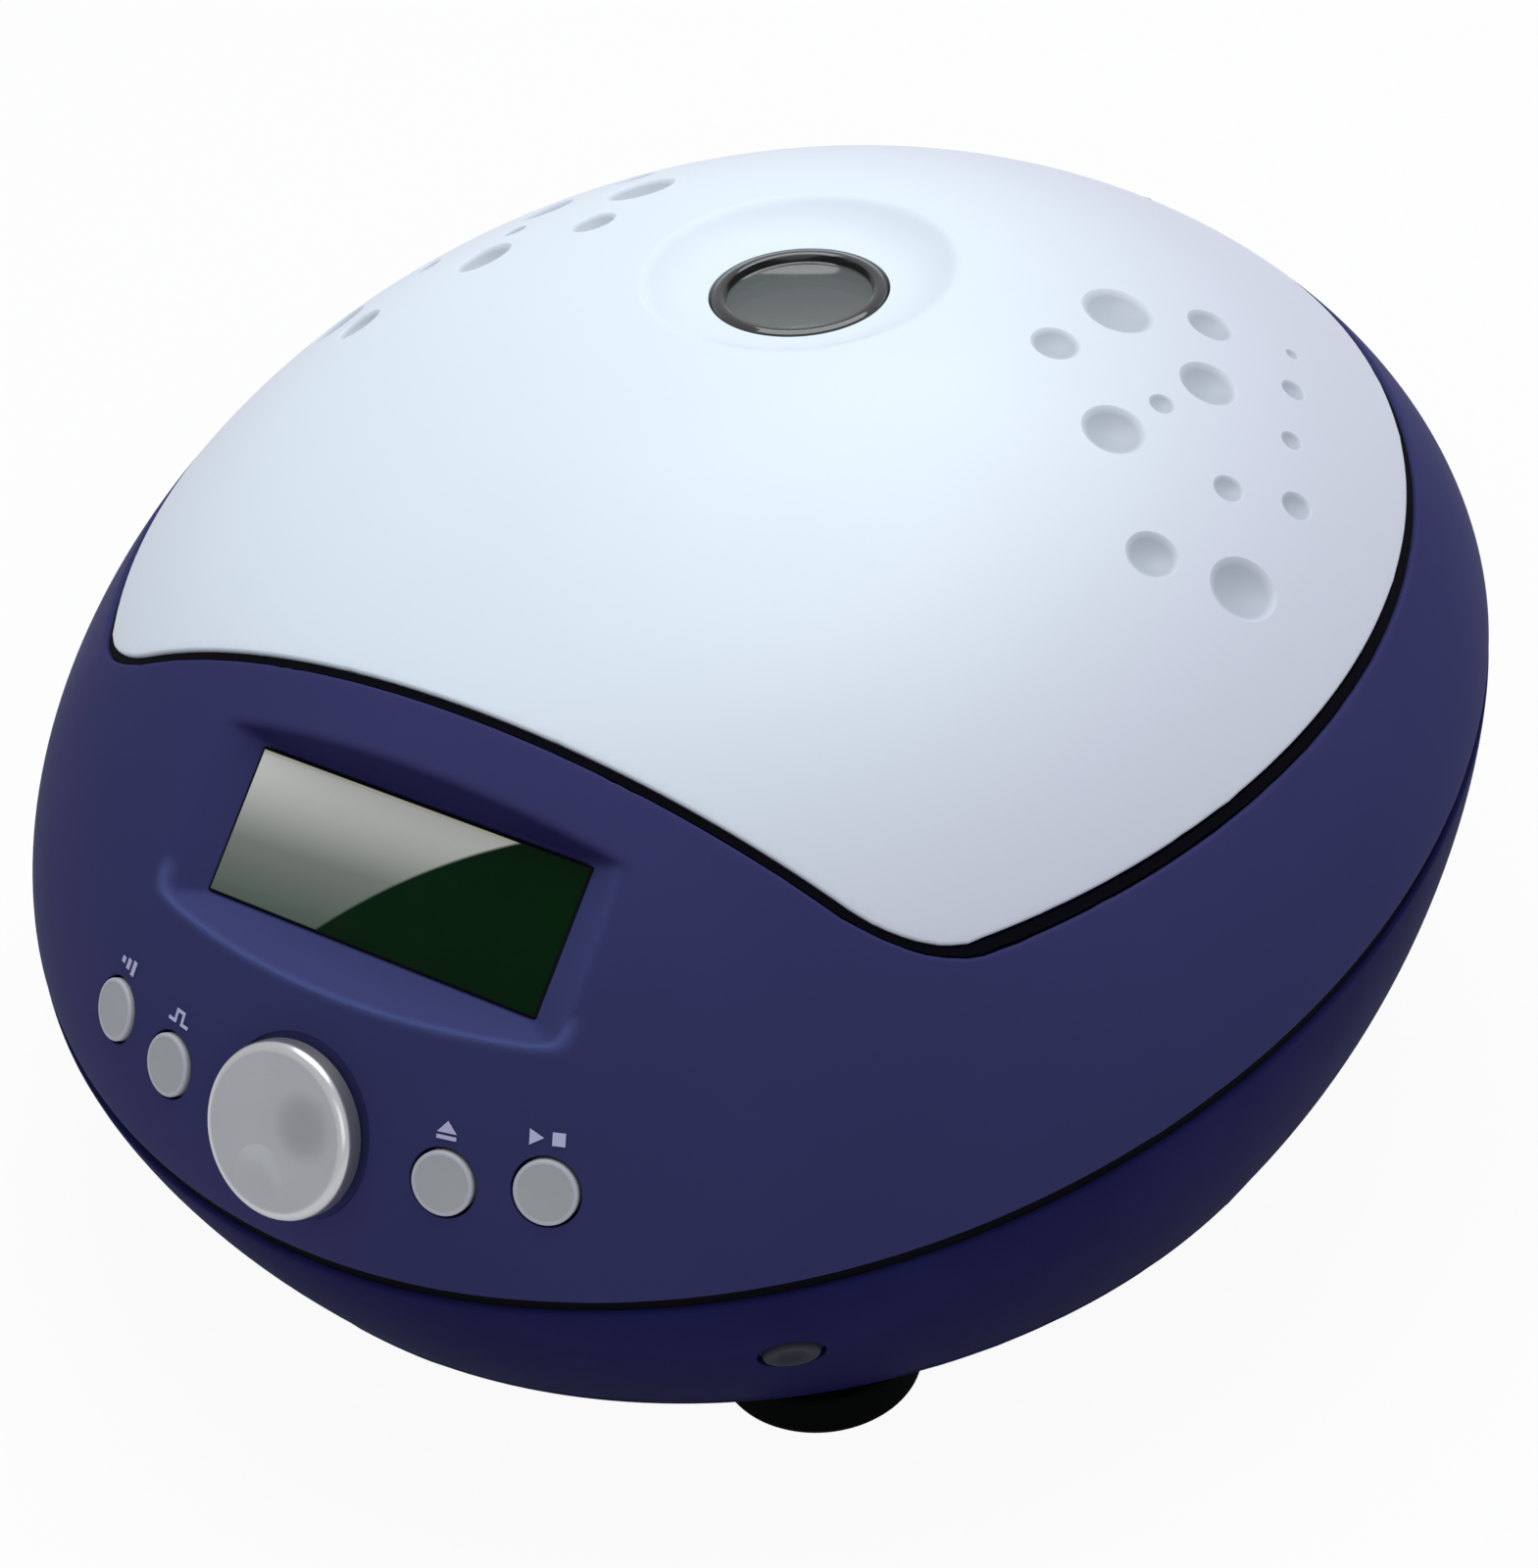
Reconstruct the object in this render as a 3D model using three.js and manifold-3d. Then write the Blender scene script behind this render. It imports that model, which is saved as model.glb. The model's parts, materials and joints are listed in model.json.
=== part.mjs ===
// Small bench centrifuge: a nose-down egg of two blue shells, a white lid hinged at the back,
// a display, a turn-and-push knob and four buttons in front, and a twelve-place rotor inside.
// Millimetres. +X is right, -Y is the front and +Z is up; the feet stand on z = 0.

import * as THREE from 'three';
import { mergeVertices } from 'three/addons/utils/BufferGeometryUtils.js';
import Module from 'manifold-3d';

const wasm = await Module();
wasm.setup();

// Driving dimensions
const fitGap = 0.3; // between pieces that seat on each other
const overrun = 5; // how far a cut runs past what it cuts

const egg = {
  width: 245,
  frontReach: 130.8,
  rearReach: 129.1,
  crownRise: 69,
  bellyDrop: 110,
  centreY: 0.5,
  centreZ: 70.5,
  wall: 3,
  undersideZ: 8,
};
const noseDown = THREE.MathUtils.degToRad(12);
const crown = { fall: 1.58, round: 2.11 };
const belly = { fall: 1.4, round: 2.78 };
const bellyEndShare = 0.82; // of the drop that is meshed, below the flat underside
const rearRoom = { hinge: 14.2, panel: 28.1 }; // ahead of the egg's rear
const rearShares = { foot: 0.5577, screw: 0.48025 }; // of the egg's reach to the rear
const widthShares = { foot: 0.22857, screw: 0.28571, board: 0.3755 }; // of the egg's width

const seam = { z: 70.3, gap: 0.7 };
const seamTilt = THREE.MathUtils.degToRad(11.1);

const lid = {
  wall: 2.6,
  shutGap: 1.5,
  frontEdge: 64, // ahead of the egg's centre, along its own axis
  sideEdge: 29.3, // above the egg's centre, square to its own axis
  hornRadius: 8,
};
const shutTilt = THREE.MathUtils.degToRad(6.4);

const spindleY = 23; // the rotor's axis, and the window's above it

const sightWindow = {
  topZ: 136.6,
  glassRadius: 14.7,
  glassThick: 3,
  dishRadius: 26.7,
  dishDepth: 4.6,
  dishWall: 2.5,
  ringThick: 2.2,
  ringWidth: 5,
};
// The dish's slope: run from the glass's hole to the rim, and rise in depths of the dish
const dishCurveShares = [
  [0, 0],
  [0.25, 0.06],
  [0.5, 0.24],
  [0.75, 0.56],
  [1, 1],
  [1.25, 1.55],
];

const bowl = {
  radius: 73,
  wall: 1.2,
  floorZ: 44.5,
  heelRadius: 8,
  flangeWidth: 5,
  flangeThick: 1.5,
  holeRadius: 14,
};
const chamberSeal = { width: 3, height: 1.6, slope: 0.75 };

const deck = { wall: 2.5, wellRoom: 8, ledgeZ: 92, ledgeThick: 3 };
const wellRadius = bowl.radius + deck.wellRoom;

const liner = { inset: 1, wall: 2.2, cupGap: 1.5, floorZ: 96, tubeRadius: 14, tubeWall: 2 };
const cupRadius = wellRadius - liner.cupGap;

const rotor = {
  baseZ: 48,
  places: 12,
  mouthRadius: 31,
  mouthZ: 36,
  socketRadius: 5.6,
  socketStraight: 22,
  socketDepth: 38,
  tipRadius: 2,
  wall: 3,
  hubRadius: 16,
  hubLow: 12,
  hubHigh: 34,
  webThick: 6,
  boreGap: 0.4,
};
const socketLean = THREE.MathUtils.degToRad(45);

const nut = { radius: 11, height: 13, grips: 8, gripRadius: 2, gripDepth: 0.9, crownThick: 3 };

const shaft = { radius: 5, lowZ: 14.4, seatRadius: 12, seatThick: 4, threadRadius: 4, threadHigh: 10 };

const motor = {
  radius: 36,
  lowZ: 15.5,
  highZ: 40,
  flangeRadius: 44,
  flangeThick: 3,
  bearingRadius: 11,
  bearingThick: 6,
  finCount: 6,
  finWidth: 4,
  finDepth: 2,
};
const motorPlate = { radius: 56, thick: 3, lowZ: 24 };
const damper = { radius: 7.5, waist: 5.5, pitchRadius: 48, count: 3 };
const shaftBoot = { lipWall: 1.6, lipHigh: 4, footRadius: 20, footThick: 1.6 };

const basePlate = {
  thick: 2,
  edgeGap: 3,
  screwX: egg.width * widthShares.screw,
  screwFrontY: -48,
  screwRearY: egg.rearReach * rearShares.screw,
};
const baseScrew = { headRadius: 3.6, headHigh: 2.4, shankRadius: 1.9, shankLong: 4 };

const foot = {
  radius: 16.5,
  edge: 2.5,
  stemRadius: 4,
  x: egg.width * widthShares.foot,
  frontY: -70,
  rearY: egg.rearReach * rearShares.foot,
};

const display = {
  width: 64.4,
  height: 24,
  glassThick: 2,
  topY: -83,
  topZ: 100.5,
  shelfWall: 2.5,
  ledge: 2.6,
  moduleThick: 6.5,
  moduleEdge: 2,
  recessHigh: 12,
};
const displayLean = THREE.MathUtils.degToRad(43.8);
const recessDraft = { side: 2.7, top: 0.62, bottom: 1.04 }; // run for each unit of rise

const knob = {
  radius: 13.7,
  proud: 4.2,
  edge: 1.8,
  push: 1,
  wellGap: 0.6,
  wellDepth: 1.5,
  dimpleRadius: 4.6,
  dimpleDepth: 1,
  dimpleX: -1.6,
  dimpleY: -7.2,
};
const knobLevelShare = 0.302;
const encoder = {
  boardDrop: 17,
  side: 13,
  thick: 7,
  bushRadius: 4.6,
  bushHigh: 4,
  shaftRadius: 3,
  shaftInKnob: 2.6,
  plungerRadius: 2,
  plungerLong: 5,
};

const button = {
  radius: 5,
  proud: 0.5,
  travel: 1.2,
  holeGap: 0.4,
  flangeExtra: 1.3,
  flangeThick: 1.4,
  flangeDrop: 4.8,
  stemRadius: 2.4,
  switchHigh: 0.7,
};
const buttonLevelShare = 0.28;
const buttonTurns = [-111.8, -103.7, -76.3, -68.2].map(THREE.MathUtils.degToRad);
const buttonNames = ['button_far_left', 'button_left', 'button_right', 'button_far_right'];

const controlBoard = {
  width: egg.width * widthShares.board,
  below: 11,
  above: 14,
  thick: 1.6,
};

const hinge = {
  y: egg.rearReach - rearRoom.hinge,
  drop: 1.4, // below the plane of the lid's rim
  radius: 2.3,
  pinRadius: 1.2,
  armHalf: 8,
  knuckleLong: 7,
  sideGap: 0.5,
  tabThick: 1.8,
  footLong: 10,
  notchGap: 0.7,
};

const lock = {
  hookFrontY: -67,
  hookRearY: -61.3,
  hookThick: 3.2,
  hookLowZ: 76.5,
  hookFoot: 4,
  hookFootThick: 1.6,
  boltSide: 4,
  boltGap: 0.7,
  boltZ: 81,
  boltTravel: 5,
  frontRoom: 2.8,
  bodyWall: 3,
  bodyTopZ: 87.6,
  bodyLowZ: 74,
  coilLong: 26,
  rodRadius: 2,
  rodLong: 16,
};

const panel = { width: 68, lowZ: 19, highZ: 45, y: egg.rearReach - rearRoom.panel };
const inlet = {
  x: -12,
  width: 27,
  height: 20,
  depth: 19,
  flangeEdge: 2,
  flangeThick: 1.5,
  wall: 1.6,
  floorThick: 3,
  pinWidth: 4,
  pinThick: 2,
  pinLong: 12,
  pinPitch: 7,
  pinRise: 4,
};
const powerSwitch = {
  x: 19,
  width: 13,
  height: 19,
  depth: 14,
  flangeEdge: 1.5,
  flangeThick: 1.5,
  wall: 1.4,
  rockerThick: 4.5,
  rockerBend: 1.6,
  rockerDeep: 6,
  pivotIn: 2,
};
const rockerTilt = THREE.MathUtils.degToRad(8);

const releasePlug = { radius: 5, gap: 0.35, proud: 0.4, long: 9, neckIn: 0.7, neckLong: 1.2 };
const releasePlugLevelShare = -0.177;
const releasePlugTurn = THREE.MathUtils.degToRad(-53.8);

const powerBoard = {
  width: 92,
  depth: 30,
  thick: 1.6,
  frontY: -84,
  lift: 6,
  postRadius: 3,
  postInset: 5,
  coilSide: 24,
  coilHigh: 20,
  capRadius: 8,
  capHigh: 26,
  sinkLong: 24,
  sinkThick: 4,
  sinkHigh: 24,
};

// Facet counts
const outerTurns = 52;
const innerTurns = 32;
const outerRings = { crown: 9, belly: 5 };
const innerRings = { crown: 6, belly: 4 };
const hornSteps = 6;
const smallSides = 8;
const roundSides = 12;
const rimSides = 18;
const bigRoundSides = 32;

const cutterSize = 2 * egg.width;
const rootTwo = Math.SQRT2;

// Solids: a closed three.js geometry becomes a solid, and a solid becomes a geometry again.
function solid(geometry) {
  const bare = geometry.index ? geometry.toNonIndexed() : geometry.clone();
  for (const name of Object.keys(bare.attributes)) {
    if (name !== 'position') bare.deleteAttribute(name);
  }
  const merged = mergeVertices(bare);
  const place = merged.attributes.position;
  const corners = merged.index.array;
  const kept = [];
  let volume = 0;
  const a = new THREE.Vector3();
  const b = new THREE.Vector3();
  const c = new THREE.Vector3();
  for (let i = 0; i < corners.length; i += 3) {
    const [p, q, r] = corners.slice(i, i + 3);
    if (p === q || q === r || r === p) continue;
    kept.push(p, q, r);
    a.fromBufferAttribute(place, p);
    b.fromBufferAttribute(place, q);
    c.fromBufferAttribute(place, r);
    volume += a.dot(b.cross(c));
  }
  if (volume < 0) kept.reverse();
  const mesh = new wasm.Mesh({
    numProp: 3,
    vertProperties: new Float32Array(place.array),
    triVerts: new Uint32Array(kept),
  });
  return new wasm.Manifold(mesh);
}

function toGeometry(shape) {
  const mesh = shape.getMesh();
  const geometry = new THREE.BufferGeometry();
  geometry.setAttribute('position', new THREE.BufferAttribute(mesh.vertProperties, 3));
  geometry.setIndex(new THREE.BufferAttribute(mesh.triVerts, 1));
  geometry.computeVertexNormals();
  return geometry;
}

function placed(geometry, matrix) {
  return solid(geometry.clone().applyMatrix4(matrix));
}

// Plain shapes, each along +Z
function box(x0, x1, y0, y1, z0, z1) {
  const geometry = new THREE.BoxGeometry(x1 - x0, y1 - y0, z1 - z0);
  return geometry.translate((x0 + x1) / 2, (y0 + y1) / 2, (z0 + z1) / 2);
}

function rod(radius, z0, z1, sides = roundSides) {
  const geometry = new THREE.CylinderGeometry(radius, radius, z1 - z0, sides);
  return geometry.rotateX(Math.PI / 2).translate(0, 0, (z0 + z1) / 2);
}

function spun(points, sides = roundSides) {
  const profile = points.map(([r, z]) => new THREE.Vector2(r, z));
  const [first] = profile;
  const last = profile.at(-1);
  const open = first.x > 0 || last.x > 0;
  if (open) profile.push(first.clone());
  return new THREE.LatheGeometry(profile, sides).rotateX(Math.PI / 2);
}

function move(x, y, z) {
  return new THREE.Matrix4().makeTranslation(x, y, z);
}

// The egg: its own axes are X, a long axis that dips to the front, and an up axis square to it.
const eggFrame = new THREE.Matrix4().makeRotationX(noseDown).setPosition(0, egg.centreY, egg.centreZ);

function eggSize(inset, level, turn) {
  const upper = level >= 0;
  const { fall, round } = upper ? crown : belly;
  return {
    across: egg.width / 2 - inset,
    along: (Math.sin(turn) < 0 ? egg.frontReach : egg.rearReach) - inset,
    rise: (upper ? egg.crownRise : egg.bellyDrop) - inset,
    spread: (1 - Math.abs(level) ** fall) ** (1 / round),
  };
}

function eggPoint(inset, level, turn) {
  const { across, along, rise, spread } = eggSize(inset, level, turn);
  const x = across * spread * Math.cos(turn);
  const y = along * spread * Math.sin(turn);
  return new THREE.Vector3(x, y, rise * level).applyMatrix4(eggFrame);
}

function eggNormal(level, turn) {
  const { across, along, rise, spread } = eggSize(0, level, turn);
  const { fall, round } = level >= 0 ? crown : belly;
  const size = Math.abs(level);
  const slope = (spread / (1 - size ** fall)) * (fall / round) * size ** (fall - 1) * Math.sign(level);
  const normal = new THREE.Vector3(Math.cos(turn) / across, Math.sin(turn) / along, slope / rise);
  return normal.normalize().transformDirection(eggFrame);
}

// A frame on the egg's surface: +Z outwards, +X level and to the right
function surfaceSeat(level, turn) {
  const out = eggNormal(level, turn);
  const right = new THREE.Vector3(0, 0, 1).cross(out).normalize();
  const up = new THREE.Vector3().crossVectors(out, right);
  return new THREE.Matrix4().makeBasis(right, up, out).setPosition(eggPoint(0, level, turn));
}

function eggSolid(inset, turns, rings) {
  const levels = [];
  const lowest = Math.asin(bellyEndShare);
  for (let i = rings.belly; i > 0; i--) levels.push(-Math.sin((lowest * i) / rings.belly));
  for (let i = 0; i < rings.crown; i++) levels.push(Math.sin((Math.PI * i) / (2 * rings.crown)));
  const places = [];
  for (const level of levels) {
    for (let k = 0; k < turns; k++) {
      places.push(...eggPoint(inset, level, (2 * Math.PI * k) / turns).toArray());
    }
  }
  const top = places.length / 3;
  places.push(...new THREE.Vector3(0, 0, egg.crownRise - inset).applyMatrix4(eggFrame).toArray());
  const low = new THREE.Vector3(0, 0, (inset - egg.bellyDrop) * bellyEndShare).applyMatrix4(eggFrame);
  places.push(...low.toArray());
  const faces = [];
  for (let k = 0; k < turns; k++) {
    const next = (k + 1) % turns;
    for (let i = 0; i + 1 < levels.length; i++) {
      const here = i * turns;
      faces.push(here + k, here + next, here + turns + next);
      faces.push(here + k, here + turns + next, here + turns + k);
    }
    const rim = (levels.length - 1) * turns;
    faces.push(rim + k, rim + next, top);
    faces.push(next, k, top + 1);
  }
  const geometry = new THREE.BufferGeometry();
  geometry.setAttribute('position', new THREE.Float32BufferAttribute(places, 3));
  geometry.setIndex(faces);
  return solid(geometry);
}

const outside = eggSolid(0, outerTurns, outerRings);
const hollow = (inset) => eggSolid(inset, innerTurns, innerRings);

// Everything on one side of a plane that runs along X and rises to the back by tilt
function halfSpace(z, tilt, side) {
  const geometry = new THREE.BoxGeometry(cutterSize, cutterSize, cutterSize);
  geometry.translate(0, 0, (side * cutterSize) / 2).rotateX(tilt);
  return solid(geometry.translate(0, 0, z));
}

// The lid's outline is one side view pushed right through the egg: a front plane and a side
// plane with a round corner, which shows as the two horns. grow moves it outwards.
function lidPrism(grow) {
  const slope = shutTilt - noseDown;
  const front = -lid.frontEdge - grow;
  const radius = lid.hornRadius + grow;
  const side = (y) => lid.sideEdge - grow / Math.cos(slope) + y * Math.tan(slope);
  const hornY = front + radius;
  const hornZ = side(hornY) + radius / Math.cos(slope);
  const shape = new THREE.Shape();
  shape.moveTo(front, cutterSize / 2);
  shape.lineTo(front, hornZ);
  shape.absarc(hornY, hornZ, radius, Math.PI, 1.5 * Math.PI + slope, false);
  shape.lineTo(cutterSize / 2, side(cutterSize / 2));
  shape.lineTo(cutterSize / 2, cutterSize / 2);
  const settings = { depth: cutterSize, bevelEnabled: false, curveSegments: hornSteps };
  const geometry = new THREE.ExtrudeGeometry(shape, settings).translate(0, 0, -cutterSize / 2);
  const toSide = new THREE.Matrix4().makeBasis(
    new THREE.Vector3(0, 1, 0),
    new THREE.Vector3(0, 0, 1),
    new THREE.Vector3(1, 0, 0),
  );
  return placed(geometry.applyMatrix4(toSide), eggFrame);
}

const shutFrame = new THREE.Matrix4().makeRotationX(shutTilt);
shutFrame.setPosition(new THREE.Vector3(0, 0, lid.sideEdge).applyMatrix4(eggFrame));

function shutHeight(y) {
  const centre = new THREE.Vector3().setFromMatrixPosition(shutFrame);
  return centre.z + (y - centre.y) * Math.tan(shutTilt);
}

// Materials: each mesh gets its own copy
const finishes = {
  blueShell: { color: 0x33335c, roughness: 0.45, metalness: 0 },
  blueBelly: { color: 0x1f1c45, roughness: 0.5, metalness: 0 },
  whiteLid: { color: 0xdfe9f1, roughness: 0.35, metalness: 0 },
  paleLiner: { color: 0xc3cad2, roughness: 0.55, metalness: 0 },
  smokedGlass: { color: 0x5f6468, roughness: 0.08, metalness: 0, transparent: true, opacity: 0.5 },
  darkGlass: { color: 0x0c2a12, roughness: 0.06, metalness: 0 },
  silver: { color: 0xa9acb0, roughness: 0.32, metalness: 0.85 },
  greyCap: { color: 0x929497, roughness: 0.45, metalness: 0.1 },
  blackPlastic: { color: 0x17181a, roughness: 0.55, metalness: 0 },
  rubber: { color: 0x0b0c0d, roughness: 0.85, metalness: 0 },
  steel: { color: 0xb5b8bb, roughness: 0.3, metalness: 1 },
  alloy: { color: 0x9a9ea3, roughness: 0.4, metalness: 0.9 },
  board: { color: 0x1d5a38, roughness: 0.5, metalness: 0 },
  plugGrey: { color: 0x3c3d45, roughness: 0.6, metalness: 0 },
};

const part = new THREE.Group();
part.name = 'bench_centrifuge';
const model = new THREE.Group();
part.add(model);

function add(parent, name, shape, finish) {
  const geometry = shape.isBufferGeometry ? shape : toGeometry(shape);
  const mesh = new THREE.Mesh(geometry, new THREE.MeshStandardMaterial(finishes[finish]));
  mesh.name = name;
  parent.add(mesh);
  return mesh;
}

function groupAt(matrix) {
  const group = new THREE.Group();
  group.applyMatrix4(matrix);
  model.add(group);
  return group;
}

const spindle = groupAt(move(0, spindleY, 0));
const atSpindle = move(0, spindleY, 0);

// Seats on the front
const knobSeat = surfaceSeat(knobLevelShare, -Math.PI / 2);
const buttonSeats = buttonTurns.map((turn) => surfaceSeat(buttonLevelShare, turn));
const plugSeat = surfaceSeat(releasePlugLevelShare, releasePlugTurn);

// The display glass: +Z outwards, +Y up the slope, origin at the glass's middle
const displaySeat = new THREE.Matrix4().makeRotationX(displayLean);
displaySeat.setPosition(
  0,
  display.topY - (display.height / 2) * Math.cos(displayLean),
  display.topZ - (display.height / 2) * Math.sin(displayLean),
);

// The display's recess: a level shelf below, an upright wall above and flared ends
function recessSolid(grow, low, high) {
  const level = (z) => {
    const x = display.width / 2 + grow + recessDraft.side * z;
    const top = display.height / 2 + grow + recessDraft.top * z;
    const bottom = -display.height / 2 - grow - recessDraft.bottom * z;
    return [
      [-x, bottom, z],
      [x, bottom, z],
      [x, top, z],
      [-x, top, z],
    ];
  };
  const places = [...level(low), ...level(high)].flat();
  const faces = [0, 2, 1, 0, 3, 2, 4, 5, 6, 4, 6, 7];
  for (let i = 0; i < 4; i++) {
    const next = (i + 1) % 4;
    faces.push(i, next, next + 4, i, next + 4, i + 4);
  }
  const geometry = new THREE.BufferGeometry();
  geometry.setAttribute('position', new THREE.Float32BufferAttribute(places, 3));
  geometry.setIndex(faces);
  return placed(geometry, displaySeat);
}

function displayBox(width, height, z0, z1) {
  return placed(box(-width / 2, width / 2, -height / 2, height / 2, z0, z1), displaySeat);
}

// Housings
const seamCut = (side) => halfSpace(seam.z + (side * seam.gap) / 2, seamTilt, side);
const floorZ = egg.undersideZ + egg.wall;

function makeUpperHousing() {
  const recessTop = display.recessHigh;
  const trayFloor = display.glassThick + fitGap + display.ledge;
  const trayEdge = display.shelfWall;
  const tray = recessSolid(trayEdge, 0, recessTop)
    .add(displayBox(display.width + 2 * trayEdge, display.height + 2 * trayEdge, -trayFloor, fitGap))
    .intersect(outside);
  const shell = outside.subtract(hollow(egg.wall)).add(tray).intersect(seamCut(1));
  const glassRoom = 2 * fitGap;
  const sightEdge = 2 * display.ledge;
  const cuts = [
    lidPrism(lid.shutGap),
    recessSolid(0, 0, recessTop + overrun),
    displayBox(display.width + glassRoom, display.height + glassRoom, -display.glassThick - fitGap, fitGap),
    displayBox(display.width - sightEdge, display.height - sightEdge, -trayFloor - overrun, 0),
    placed(rod(knob.radius + knob.wellGap, -knob.wellDepth, overrun, bigRoundSides), knobSeat),
    placed(rod(encoder.shaftRadius + 2 * fitGap, -egg.wall - overrun, overrun), knobSeat),
    barrelNotch(),
  ];
  for (const seat of buttonSeats) {
    cuts.push(placed(rod(button.radius + button.holeGap, -egg.wall - overrun, overrun), seat));
  }
  return cuts.reduce((left, cut) => left.subtract(cut), shell);
}

function makeLowerHousing() {
  const aboveFloor = halfSpace(floorZ, 0, 1);
  const half = panel.width / 2;
  const pocketEnd = egg.rearReach + overrun;
  const panelWall = box(
    -half - egg.wall,
    half + egg.wall,
    panel.y - egg.wall,
    pocketEnd,
    panel.lowZ - egg.wall,
    panel.highZ + egg.wall,
  );
  const shell = outside
    .subtract(hollow(egg.wall).intersect(aboveFloor))
    .add(solid(panelWall).intersect(outside))
    .intersect(halfSpace(egg.undersideZ, 0, 1))
    .intersect(seamCut(-1));
  const cuts = [
    solid(box(-half, half, panel.y, pocketEnd, panel.lowZ, panel.highZ)),
    panelHole(inlet),
    panelHole(powerSwitch),
    placed(rod(releasePlug.radius + releasePlug.gap, -egg.wall - overrun, overrun), plugSeat),
  ];
  for (const [x, y] of footPlaces()) {
    cuts.push(placed(rod(foot.stemRadius + fitGap, 0, floorZ + overrun), move(x, y, 0)));
  }
  for (const [x, y] of screwPlaces()) {
    cuts.push(placed(rod(baseScrew.shankRadius + fitGap, 0, floorZ + overrun), move(x, y, 0)));
  }
  return cuts.reduce((left, cut) => left.subtract(cut), shell);
}

function panelMiddle() {
  return (panel.lowZ + panel.highZ) / 2;
}

// A block in the panel that is a fitting's outline grown all round
function panelBlock({ x, width, height }, grow, y0, y1) {
  const z = panelMiddle();
  const halfX = width / 2 + grow;
  const halfZ = height / 2 + grow;
  return solid(box(x - halfX, x + halfX, y0, y1, z - halfZ, z + halfZ));
}

function panelHole(fitting) {
  return panelBlock(fitting, fitGap, panel.y - egg.wall - overrun, panel.y + overrun);
}

// Feet and base
function footPlaces() {
  return [
    [-foot.x, foot.frontY],
    [foot.x, foot.frontY],
    [-foot.x, foot.rearY],
    [foot.x, foot.rearY],
  ];
}

function screwPlaces() {
  return [
    [-basePlate.screwX, basePlate.screwFrontY],
    [basePlate.screwX, basePlate.screwFrontY],
    [-basePlate.screwX, basePlate.screwRearY],
    [basePlate.screwX, basePlate.screwRearY],
  ];
}

const plateLowZ = floorZ + fitGap;
const plateTopZ = plateLowZ + basePlate.thick;

function makeFoot() {
  const top = egg.undersideZ - fitGap;
  return spun([
    [0, 0],
    [foot.radius - foot.edge / 2, 0],
    [foot.radius, foot.edge],
    [foot.radius, top],
    [foot.stemRadius, top],
    [foot.stemRadius, floorZ],
    [0, floorZ],
  ], rimSides);
}

function makeBasePlate() {
  const slab = solid(box(-cutterSize, cutterSize, -cutterSize, cutterSize, plateLowZ, plateTopZ));
  const cuts = screwPlaces().map(([x, y]) =>
    placed(rod(baseScrew.shankRadius + fitGap, plateLowZ - overrun, plateTopZ + overrun), move(x, y, 0)),
  );
  return cuts.reduce((left, cut) => left.subtract(cut), slab.intersect(hollow(egg.wall + basePlate.edgeGap)));
}

function makeBaseScrew() {
  const headLow = plateTopZ + fitGap;
  return spun([
    [0, headLow - baseScrew.shankLong],
    [baseScrew.shankRadius, headLow - baseScrew.shankLong],
    [baseScrew.shankRadius, headLow],
    [baseScrew.headRadius, headLow],
    [baseScrew.headRadius / 2, headLow + baseScrew.headHigh],
    [0, headLow + baseScrew.headHigh],
  ], smallSides);
}

function makeBase() {
  const spots = ['front_left', 'front_right', 'rear_left', 'rear_right'];
  add(model, 'lower_housing', makeLowerHousing(), 'blueBelly');
  add(model, 'upper_housing', makeUpperHousing(), 'blueShell');
  add(model, 'base_plate', makeBasePlate(), 'alloy');
  footPlaces().forEach(([x, y], i) => {
    add(model, `foot_${spots[i]}`, makeFoot(), 'rubber').position.set(x, y, 0);
  });
  screwPlaces().forEach(([x, y], i) => {
    add(model, `base_screw_${spots[i]}`, makeBaseScrew(), 'steel').position.set(x, y, 0);
  });
}

// Lid
function dishCutter() {
  const { topZ, glassRadius, dishRadius, dishDepth } = sightWindow;
  const hole = glassRadius + fitGap;
  const span = dishRadius - hole;
  const slope = dishCurveShares.map(([out, up]) => [hole + span * out, topZ + dishDepth * up]);
  const [brim] = slope.at(-1);
  const low = topZ - dishDepth - overrun;
  const high = topZ + 2 * dishDepth;
  return [[0, low], [hole, low], ...slope, [brim, high], [0, high]];
}

function makeLidShell() {
  const { topZ, glassRadius, glassThick, dishRadius, dishDepth, dishWall } = sightWindow;
  const panLow = topZ - glassThick - fitGap;
  const pan = spun([
    [glassRadius - dishWall, panLow],
    [glassRadius + dishWall, panLow],
    [dishRadius + dishWall, topZ],
    [dishRadius + dishWall, topZ + 2 * dishDepth],
    [glassRadius - dishWall, topZ + 2 * dishDepth],
  ], bigRoundSides);
  return outside
    .subtract(hollow(lid.wall))
    .intersect(lidPrism(0))
    .add(placed(pan, atSpindle).intersect(outside))
    .subtract(placed(spun(dishCutter(), bigRoundSides), atSpindle))
    .subtract(barrelNotch())
    .subtract(rimNotch());
}

// A pan that follows the shut line between two growths of the lid's outline
function shutPan(growIn, growOut, inset) {
  return lidPrism(growOut).subtract(lidPrism(growIn)).intersect(hollow(inset));
}

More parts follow.
